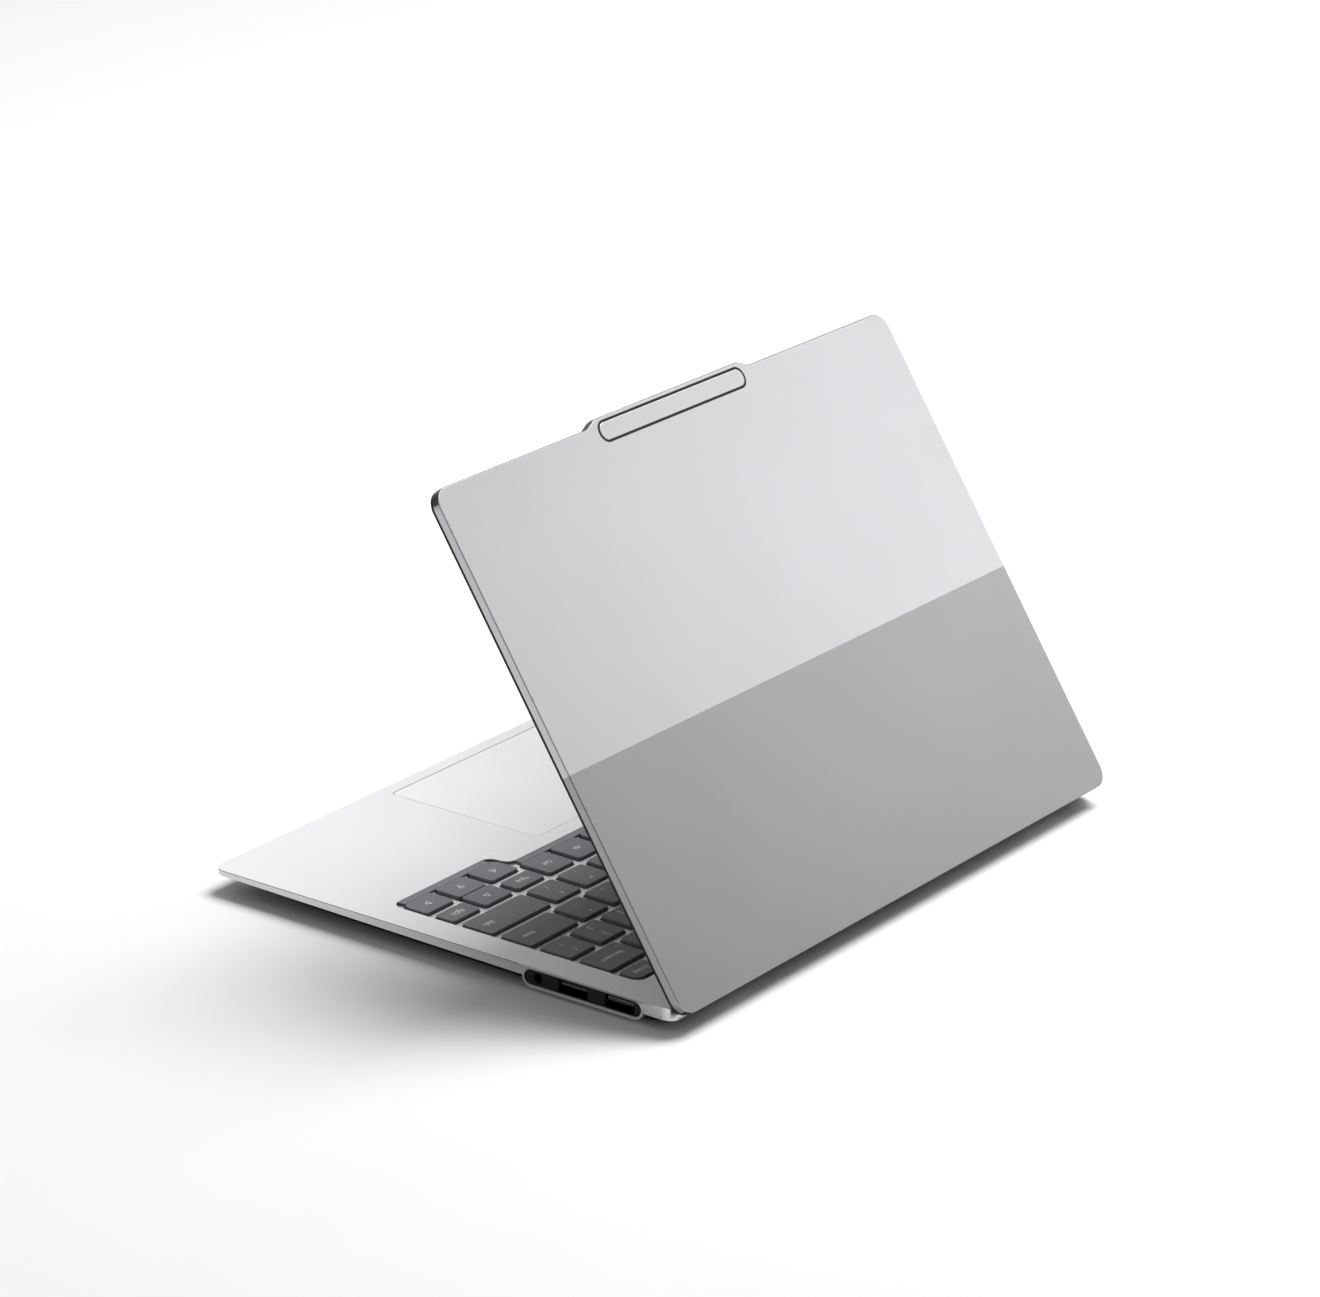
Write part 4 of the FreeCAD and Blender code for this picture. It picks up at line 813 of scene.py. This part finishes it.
@dataclass
class Keyboard:
    """Keycaps with shallow dishes, and the legends printed on them.

    Attributes:
        finishes: The finishes.
        corner: Corner radius of a key.
        outer_corner: Radius where a key is at a corner of the whole field.
        edge: Radius of the top edge.
        wall: Wall of the hollow cap.
        roof: Roof of the hollow cap.
        dish: Insets that form the dish, as width and depth.
        letter: Height of a single letter's type.
        word: Height of a word's type.
        boldness: How far the strokes are thickened.
        print_thickness: Thickness of the ink.
        word_inset: Distance of a word at a key's end from that end.
        sign_shift: Share of the key by which each of two signs stands off its middle.
        sign_scale: Share to which each of two signs is drawn smaller.
        arrow_size: Radius of an arrow's triangle, and the width of its stroke.
        pocket: Depth of the pocket round the keys.
        liner: Thickness of the pocket's dark liner, and its width at the sides and in front of the keys.
        front_sink: How far the liner's front strip lies below the deck.
        caps: Keycaps to copy from, by size and outer corner.
    """

    finishes: Finishes
    corner: float = 1.3 * MM
    outer_corner: float = 3.6 * MM
    edge: float = 0.22 * MM
    wall: float = 0.9 * MM
    roof: float = 0.6 * MM
    dish: tuple[Pair, ...] = (
        (0.2 * MM, 0.01 * MM), (0.3 * MM, 0.03 * MM), (0.3 * MM, 0.015 * MM))
    letter: float = 3.7 * MM
    word: float = 3.0 * MM
    boldness: float = 0.08 * MM
    print_thickness: float = 0.03 * MM
    word_inset: float = 4.8 * MM
    sign_shift: float = 0.24
    sign_scale: float = 0.9
    arrow_size: Pair = (1.9 * MM, 0.42 * MM)
    pocket: float = 1.15 * MM
    liner: Triple = (0.12 * MM, 1.1 * MM, 3.2 * MM)
    front_sink: float = 0.1 * MM
    caps: dict = field(default_factory=dict)

    WORDS = {
        "escape_key": ["Esc"], "delete_key": ["Delete"], "backspace_key": ["Backspace"],
        "enter_key": ["Enter"], "left_shift_key": ["Shift"], "right_shift_key": ["Shift"],
        "page_up_key": ["PgUp"], "page_down_key": ["PgDn"],
        "function_keys": [f"F{n}" for n in range(1, 13)],
        "number_row_keys": list("`1234567890-="),
        "upper_row_keys": ["Tab", *"QWERTYUIOP[]\\"],
        "home_row_keys": ["Caps", *"ASDFGHJKL;'"],
        "lower_row_keys": list("ZXCVBNM,./"),
        "modifier_keys": ["Fn", "Ctrl", "Opt", "Alt", "Alt", "Ctrl"],
    }
    SHIFTED = dict(zip("`1234567890-=[]\\;',./", "~!@#$%^&*()_+{}|:\"<>?"))
    ARROWS = {"up_arrow_key": 0, "left_arrow_key": 90, "down_arrow_key": 180, "right_arrow_key": 270}
    OUTER = {
        "escape_key": Corner.REAR_LEFT, "delete_key": Corner.REAR_RIGHT, "modifier_keys": Corner.FRONT_LEFT,
        "left_arrow_key": Corner.FRONT_LEFT, "right_arrow_key": Corner.FRONT_RIGHT,
    }
    SIDES = {"Tab": LegendSide.LEFT, "Caps": LegendSide.LEFT, "Enter": LegendSide.RIGHT}

    def build(self) -> None:
        """Builds every key, its legends and the liner round the keys."""
        for node in [*self.WORDS, *self.ARROWS, "space_bar"]:
            boxes = solid_boxes(node)
            caps = [self.cap(box, None) for box in boxes[1:]]
            caps.insert(0, self.cap(boxes[0], self.OUTER.get(node)))
            keys = join(node + "_caps", caps)
            smooth(keys, angle=50.0)
            self.finishes.settle(keys, node)
            self.build_legends(node, boxes)
        for cap in self.caps.values():
            bpy.data.objects.remove(cap)
        self.build_liner()

    def build_liner(self) -> None:
        """Lines the pocket's wall and the edge of its floor, with a strip in front just below the deck."""
        low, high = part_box("keyboard_deck")
        floor = high.z - self.pocket

        def on_wall(face: Face) -> bool:
            """True for a face of the pocket's wall."""
            levels = [vertex.co.z for vertex in face.verts]
            return abs(min(levels) - floor) < MERGE and abs(max(levels) - high.z) < MERGE

        def lowered(height: float) -> Matrix:
            """Returns the squash that leaves the wall a height above the floor."""
            squash = Matrix.Translation((0.0, 0.0, floor)) @ Matrix.Scale(height / self.pocket, 4, (0, 0, 1))
            return squash @ Matrix.Translation((0.0, 0.0, -floor))

        wall = copy_of(NODES["keyboard_deck"], "pocket_wall")
        with Bench(wall) as bench:
            bench.pick_all()
            bpy.ops.mesh.remove_doubles(threshold=MERGE)
            bench.pick_faces(lambda face: not on_wall(face))
            bpy.ops.mesh.delete(type="FACE")
        thickness, width, front_width = self.liner
        edge = copy_of(wall, "pocket_edge", lowered(thickness))
        front = copy_of(wall, "pocket_front", lowered(self.pocket - self.front_sink))
        with Bench(front) as bench:
            bench.pick_faces(lambda face: face.normal.y < ALONG)
            bpy.ops.mesh.delete(type="FACE")
        for strip, depth in ((wall, thickness), (edge, width), (front, front_width)):
            solidify(strip, depth)
        liner = join("key_field_liner", [wall, edge, front])
        smooth(liner)
        # The liner's paler slate is painted light on the pocket's shaded wall.
        settle(liner, self.finishes.frame, "base")

    def cap(self, box: Box, outer: Corner | None) -> Piece:
        """Copies the keycap of a size, which is modelled when it is first needed.

        Args:
            box: Lowest and highest corner of the key.
            outer: Corner with the larger radius, if any.

        Returns:
            The keycap.
        """
        low, high = box
        size = high - low
        kind = (round(size.x, 5), round(size.y, 5), outer)
        if kind not in self.caps:
            cap = block("cap", Vector(), size)
            if outer:
                round_corners(cap, self.outer_corner, segments=6, corners=[outer])
            round_corners(cap, self.corner, segments=4, corners=[c for c in Corner if c is not outer])
            soften_rim(cap, self.edge, segments=2)
            sink_face(cap, self.dish)
            with Bench(cap) as bench:
                bench.pick_flat(top=False)
                bpy.ops.mesh.inset(thickness=self.wall, depth=0.0)
                inwards = (0.0, 0.0, size.z - self.roof)
                bpy.ops.mesh.extrude_region_move(TRANSFORM_OT_translate={"value": inwards})
            self.caps[kind] = cap
        return copy_of(self.caps[kind], "cap", Matrix.Translation(low))

    def build_legends(self, node: str, boxes: list[Box]) -> None:
        """Prints the legends of one node's keys.

        Args:
            node: Name of the node.
            boxes: Lowest and highest corner of each key.
        """
        marks = []
        if node in self.ARROWS:
            marks.append(self.arrow(boxes[0], self.ARROWS[node]))
        for box, word in zip(boxes, self.WORDS.get(node, [])):
            marks += self.legend(box, word)
        if marks:
            ink = join(node + "_legends", marks)
            settle(ink, self.finishes.ink, NODE_BODY[node])

    def legend(self, box: Box, word: str) -> list[Piece]:
        """Prints the words or signs of one key.

        Args:
            box: Lowest and highest corner of the key.
            word: What the key says.

        Returns:
            Meshes of the type.
        """
        low, high = box
        middle = (low + high) / 2
        middle.z = self.print_level(high.z)
        size = self.letter if len(word) == 1 else self.word
        if word in self.SHIFTED:
            shift = Vector((0.0, (high.y - low.y) * self.sign_shift, 0.0))
            size *= self.sign_scale
            return [self.set_type(word, size, middle - shift, LegendSide.MIDDLE),
                    self.set_type(self.SHIFTED[word], size, middle + shift, LegendSide.MIDDLE)]
        side = self.SIDES.get(word, LegendSide.MIDDLE)
        if word == "Shift":
            side = LegendSide.LEFT if middle.x < 0 else LegendSide.RIGHT
        edge = {LegendSide.LEFT: low.x + self.word_inset, LegendSide.MIDDLE: middle.x,
                LegendSide.RIGHT: high.x - self.word_inset}
        return [self.set_type(word, size, Vector((edge[side], middle.y, middle.z)), side)]

    def set_type(self, text: str, size: float, place: Vector, side: LegendSide) -> Piece:
        """Sets one piece of type as a thin mesh on a key.

        Args:
            text: What it says.
            size: Type size in metres.
            place: Where it stands, at half the ink's thickness.
            side: Which end of the text is at the place.

        Returns:
            The mesh.
        """
        bpy.ops.object.select_all(action="DESELECT")
        bpy.ops.object.text_add()
        made = bpy.context.object
        made.data.body = text
        made.data.size = size
        made.data.offset = self.boldness
        made.data.resolution_u = 2
        made.data.extrude = self.print_thickness / 2
        made.data.align_x = side.value
        made.data.align_y = "CENTER"
        bpy.ops.object.convert(target="MESH")
        made = bpy.context.object
        made.data.transform(Matrix.Translation(place))
        return made

    def print_level(self, top: float) -> float:
        """Returns the height of the ink's middle on a dished key."""
        return top - sum(depth for _, depth in self.dish) + self.print_thickness / 4

    def arrow(self, box: Box, turn: float) -> Piece:
        """Prints a small open triangle on an arrow key.

        Args:
            box: Lowest and highest corner of the key.
            turn: Degrees from pointing to the rear, to the left.

        Returns:
            The mesh.
        """
        low, high = box
        radius, stroke = self.arrow_size
        bpy.ops.object.select_all(action="DESELECT")
        bpy.ops.mesh.primitive_circle_add(vertices=3, radius=radius, fill_type="NGON")
        made = bpy.context.object
        with Bench(made) as bench:
            bench.pick_all()
            bpy.ops.mesh.inset(thickness=stroke, depth=0.0)
            bpy.ops.mesh.delete(type="FACE")
            bench.pick_all()
            upwards = (0.0, 0.0, self.print_thickness)
            bpy.ops.mesh.extrude_region_move(TRANSFORM_OT_translate={"value": upwards})
            bench.pick_all()
            bpy.ops.mesh.normals_make_consistent(inside=False)
        middle = (low + high) / 2
        level = self.print_level(high.z) - self.print_thickness / 2
        place = Matrix.Translation((middle.x, middle.y, level))
        made.data.transform(place @ Matrix.Rotation(math.radians(turn), 4, "Z"))
        return made


@dataclass
class Base:
    """Base: deck, touchpad, power button, ports, bottom hull, feet and screws.

    Attributes:
        finishes: The finishes.
        corner: Radius of the deck's front corners.
        shade_line: Height of the black strip along the rim, painted shade under the deck's top edge, its depth
            below the deck, and its reach out and in.
        shade_line_ends: Distance of the strip's left end from the rear, and of its right end from the port insert.
        pad: Corner and edge radius of the touchpad.
        flange: Width and thickness of the flange under the power button.
        button: Edge radius of the power button, and width and depth of the slope inside it.
        foot: The same of a rubber foot.
        head: Height and edge radius of a screw's head.
        recess: Radius, depth and lean of the drive recess in it.
        shank: Radius of a screw's shank, and of the edge at its end.
        shell: Thickness of a data port's sides and of its back.
        tongue: Height of a port's tongue above its middle, half its thickness, and how far back it ends.
        contacts: Number of contacts on a tongue.
        contact: Width, spacing and thickness of a contact.
        contact_ends: Distances of a contact's inner and outer end from the tongue's end.
    """

    finishes: Finishes
    corner: float = 5.0 * MM
    shade_line: tuple[float, float, float, float] = (0.2 * MM, 0.12 * MM, 0.02 * MM, 0.5 * MM)
    shade_line_ends: Pair = (8.0 * MM, 1.5 * MM)
    pad: Pair = (2.0 * MM, 0.15 * MM)
    flange: Pair = (1.0 * MM, 0.4 * MM)
    button: Triple = (0.2 * MM, 0.8 * MM, 0.05 * MM)
    foot: Triple = (0.5 * MM, 1.4 * MM, 0.12 * MM)
    head: Pair = (0.6 * MM, 0.12 * MM)
    recess: Triple = (0.85 * MM, 0.35 * MM, 0.02 * MM)
    shank: Pair = (0.8 * MM, 0.2 * MM)
    shell: Pair = (0.5 * MM, 1.5 * MM)
    tongue: Triple = (0.9 * MM, 0.7 * MM, 0.6 * MM)
    contacts: int = 4
    contact: Triple = (1.0 * MM, 2.3 * MM, 0.06 * MM)
    contact_ends: Pair = (7.0 * MM, 0.8 * MM)

    def build(self) -> None:
        """Builds the whole base."""
        for node in ("bottom_cover", "port_plate", "audio_jack"):
            self.finishes.settle(refined(node), node)
        self.build_deck()
        self.build_shade_line()
        self.build_touchpad()
        self.build_power_button()
        self.build_feet()
        self.build_screws()
        for node in ("usb_port_front", "usb_port_rear"):
            self.build_port(node)

    def build_deck(self) -> None:
        """Dresses the deck, with its rim painted a little darker than its top as shade on the sides."""
        deck = self.finishes.settle(refined("keyboard_deck"), "keyboard_deck")
        low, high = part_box("keyboard_deck")
        deck.data.materials.append(self.finishes.rim)
        # A step outwards from the rim leaves the deck's box, and a rim's normal hardly leans upwards.
        step, lean = 3.0 * MM, 0.3
        for face in deck.data.polygons:
            beyond = face.center + face.normal * step
            outside = not (low.x < beyond.x < high.x and low.y < beyond.y < high.y)
            if abs(face.normal.z) < lean and outside:
                # Rim faces take the darker finish: painted shade on the sides.
                face.material_index = 1

    def build_shade_line(self) -> None:
        """Models a thin black strip between the deck's top and its rim, as painted shade under the deck's edge.

        On the right it ends at the port boss, and on the left it runs on to the rear corner.
        """
        low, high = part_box("keyboard_deck")
        height, depth, proud, inner = self.shade_line
        rear_end = high.y - self.shade_line_ends[0]
        boss_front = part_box("port_plate")[0].y - self.shade_line_ends[1]
        # The black strip is painted shade along the deck's top edge.
        ring = block("deck_edge_painted_shade", Vector((low.x - proud, low.y - proud, high.z - depth - height)),
                     Vector((high.x + proud, rear_end + self.corner, high.z - depth)))
        front_corners = [Corner.FRONT_LEFT, Corner.FRONT_RIGHT]
        round_corners(ring, self.corner + proud, segments=12, corners=front_corners)
        with Bench(ring) as bench:
            bench.pick_faces(lambda face: abs(face.normal.z) > ALONG)
            bpy.ops.mesh.inset(thickness=inner, depth=0.0)
            bpy.ops.mesh.bridge_edge_loops()
            bench.pick_all()
            across = (rear_end - boss_front, high.x - low.x, 0.0)
            bpy.ops.mesh.bisect(
                plane_co=(low.x, rear_end, 0.0), plane_no=across, use_fill=True, clear_outer=True)
        smooth(ring)
        settle(ring, self.finishes.slots["black_plastic"], "base")

    def build_port(self, node: str) -> None:
        """Dresses a data port, with a paler tongue in its upper half and a row of gold contacts on that.

        Args:
            node: Name of the port's node.
        """
        port = self.finishes.settle(refined(node), node, self.finishes.nickel)
        low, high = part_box(node)
        middle = (low + high) / 2
        wall, back = self.shell
        raised, half, end = self.tongue
        port.data.materials.append(self.finishes.tongue)
        for face in port.data.polygons:
            level = abs(face.center.z - middle.z - raised) < half + MERGE
            inside = abs(face.center.y - middle.y) < (high.y - low.y) / 2 - wall
            if level and inside and face.center.x > low.x + back:
                face.material_index = 1
        width, pitch, thickness = self.contact
        inner, outer = (high.x - end - distance for distance in self.contact_ends)
        under = middle.z + raised - half
        first = block("contact", Vector((inner, -width / 2, under - thickness)),
                      Vector((outer, width / 2, under)))
        soften_rim(first, thickness / 3, segments=1, top=False)
        strips = []
        for i in range(self.contacts):
            y = middle.y + (i - (self.contacts - 1) / 2) * pitch
            strips.append(copy_of(first, "contact", Matrix.Translation((0.0, y, 0.0))))
        bpy.data.objects.remove(first)
        row = join(node + "_contacts", strips)
        settle(row, self.finishes.gold, "base")

    def build_touchpad(self) -> None:
        """Models the touchpad as a slab with a ground edge."""
        low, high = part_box("touchpad")
        pad = block("touchpad_glass", low, high)
        corner, edge = self.pad
        round_corners(pad, corner, segments=6)
        soften_rim(pad, edge, segments=2)
        smooth(pad)
        self.finishes.settle(pad, "touchpad")

    def build_power_button(self) -> None:
        """Models the power button as a pill with a soft edge and a flange under the deck."""
        low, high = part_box("power_button")
        flange, thickness = self.flange
        cap_low = Vector((low.x + flange, low.y + flange, low.z + thickness))
        cap_high = Vector((high.x - flange, high.y - flange, high.z))
        cap = pill("power_cap", cap_low, cap_high, segments=10)
        soften_rim(cap, self.button[0], segments=3)
        sink_face(cap, [self.button[1:]])
        base = pill("power_flange", low, Vector((high.x, high.y, low.z + thickness)), segments=10)
        button = join("power_button_cap", [cap, base])
        smooth(button)
        self.finishes.settle(button, "power_button")

    def build_feet(self) -> None:
        """Models the rubber feet as pills with rounded lower edges."""
        feet = []
        for low, high in solid_boxes("rubber_feet"):
            foot = pill("foot", low, high, segments=10)
            soften_rim(foot, self.foot[0], segments=3, top=False)
            sink_face(foot, [self.foot[1:]], top=False)
            feet.append(foot)
        pads = join("rubber_foot_pads", feet)
        smooth(pads)
        self.finishes.settle(pads, "rubber_feet")

    def build_screws(self) -> None:
        """Models one bottom screw with a round drive recess, and copies it."""
        boxes = solid_boxes("bottom_screws")
        low, high = boxes[0]
        middle = (low + high) / 2
        radius = (high.x - low.x) / 2
        head, head_edge = self.head
        drive, depth, lean = self.recess
        shank_radius, shank_edge = self.shank
        screw = disc("screw", Vector((middle.x, middle.y, low.z + head / 2)), radius, head, sides=36)
        soften_rim(screw, head_edge, segments=2, top=False)
        sink_face(screw, [(radius - drive - head_edge, 0.0), (lean, depth)], top=False)
        shank = disc("shank", Vector((middle.x, middle.y, (low.z + head + high.z) / 2)), shank_radius,
                     high.z - low.z - head, sides=16)
        soften_rim(shank, shank_edge, segments=2)
        whole = join("screw", [screw, shank])
        screws = [copy_of(whole, "screw", Matrix.Translation(place - low)) for place, _ in boxes]
        bpy.data.objects.remove(whole)
        made = join("bottom_screw_heads", screws)
        smooth(made)
        self.finishes.settle(made, "bottom_screws")


@dataclass
class Interior:
    """Pieces inside the case, which keep their CAD shape."""

    finishes: Finishes

    def build(self) -> None:
        """Gives every CAD node that is still shown the finish of its slot."""
        for name, node in NODES.items():
            if not node.hide_render:
                node.data.materials.clear()
                node.data.materials.append(self.finishes.slots[SLOTS[name]])
                log.info("%s keeps its CAD shape", name)


@dataclass
class Studio:
    """White studio: floor, soft light and the camera.

    Attributes:
        place: Camera place in metres.
        azimuth: Direction that the camera looks from, in degrees from +Y towards +X.
        elevation: How far the camera looks down, in degrees.
        roll: Turn of the camera about its view in degrees.
        lens: Focal length in millimetres.
        sensor: Width of the camera's sensor in millimetres.
        floor_size: Side of the floor in metres.
        surround: Strength of the light from all round.
        aim: Point in metres that the soft boxes face.
    """

    place: Triple = (1.64661, 1.08119, 0.79587)
    azimuth: float = 56.48
    elevation: float = 20.0
    roll: float = 2.44
    lens: float = 153.1
    sensor: float = 36.0
    floor_size: float = 14.0
    surround: float = 0.25
    aim: Triple = (0.0, 0.0, 0.06)

    def build(self) -> None:
        """Builds the studio round the object."""
        self.build_floor()
        self.build_light()
        self.build_camera()

    def build_floor(self) -> None:
        """Lays a plain pale floor."""
        bpy.ops.object.select_all(action="DESELECT")
        bpy.ops.mesh.primitive_plane_add(size=self.floor_size)
        floor = bpy.context.object
        floor.name = "floor"
        floor.data.materials.append(Finish(
            "matt_white_floor", "#FAFAFA", 0.9, grain=2.0, relief=0.0, uneven=0.004, specular=0.1).build())

    def build_light(self) -> None:
        """Sets a dim even surround, a wide box high on the left and two small boxes low on the left."""
        world = bpy.data.worlds.new("white surround")
        world.use_nodes = True
        background = world.node_tree.nodes["Background"]
        background.inputs["Color"].default_value = linear("#FFFFFF")
        background.inputs["Strength"].default_value = self.surround
        bpy.context.scene.world = world
        self.soft_box("high_box", place=(-1.1, 0.2, 2.2), size=1.4, power=64.5)
        self.soft_box("front_left_box", place=(-0.317, -0.549, 0.296), size=0.4, power=0.52)
        self.soft_box("back_left_box", place=(-0.549, 0.317, 0.296), size=0.4, power=0.53)
        bpy.context.scene.view_settings.view_transform = "Standard"

    def soft_box(self, name: str, place: Triple, size: float, power: float) -> None:
        """Adds one square soft box that faces the object.

        Args:
            name: Name of the light.
            place: Its place in metres.
            size: Its side in metres.
            power: Its power in watts.
        """
        light = bpy.data.lights.new(name, "AREA")
        light.size = size
        light.energy = power
        box = bpy.data.objects.new(name, light)
        box.location = place
        box.rotation_euler = (Vector(self.aim) - Vector(place)).to_track_quat("-Z", "Y").to_euler()
        bpy.context.scene.collection.objects.link(box)

    def build_camera(self) -> None:
        """Sets the camera where the photograph was taken from."""
        camera = bpy.data.objects.new("camera", bpy.data.cameras.new("camera"))
        camera.data.sensor_width = self.sensor
        camera.data.lens = self.lens
        stand = Matrix.Translation(self.place)
        for angle, axis in ((180.0 - self.azimuth, "Z"), (90.0 - self.elevation, "X"), (self.roll, "Z")):
            stand @= Matrix.Rotation(math.radians(angle), 4, axis)
        camera.matrix_world = stand
        bpy.context.scene.collection.objects.link(camera)
        bpy.context.scene.camera = camera


def main() -> None:
    """Builds the looks in order and reports each piece."""
    logging.basicConfig(level=logging.INFO, format="%(name)s: %(message)s")
    finishes = Finishes()
    for assembly in (Lid(finishes), Keyboard(finishes), Base(finishes), Interior(finishes), Studio()):
        assembly.build()


if __name__ == "__main__":
    main()
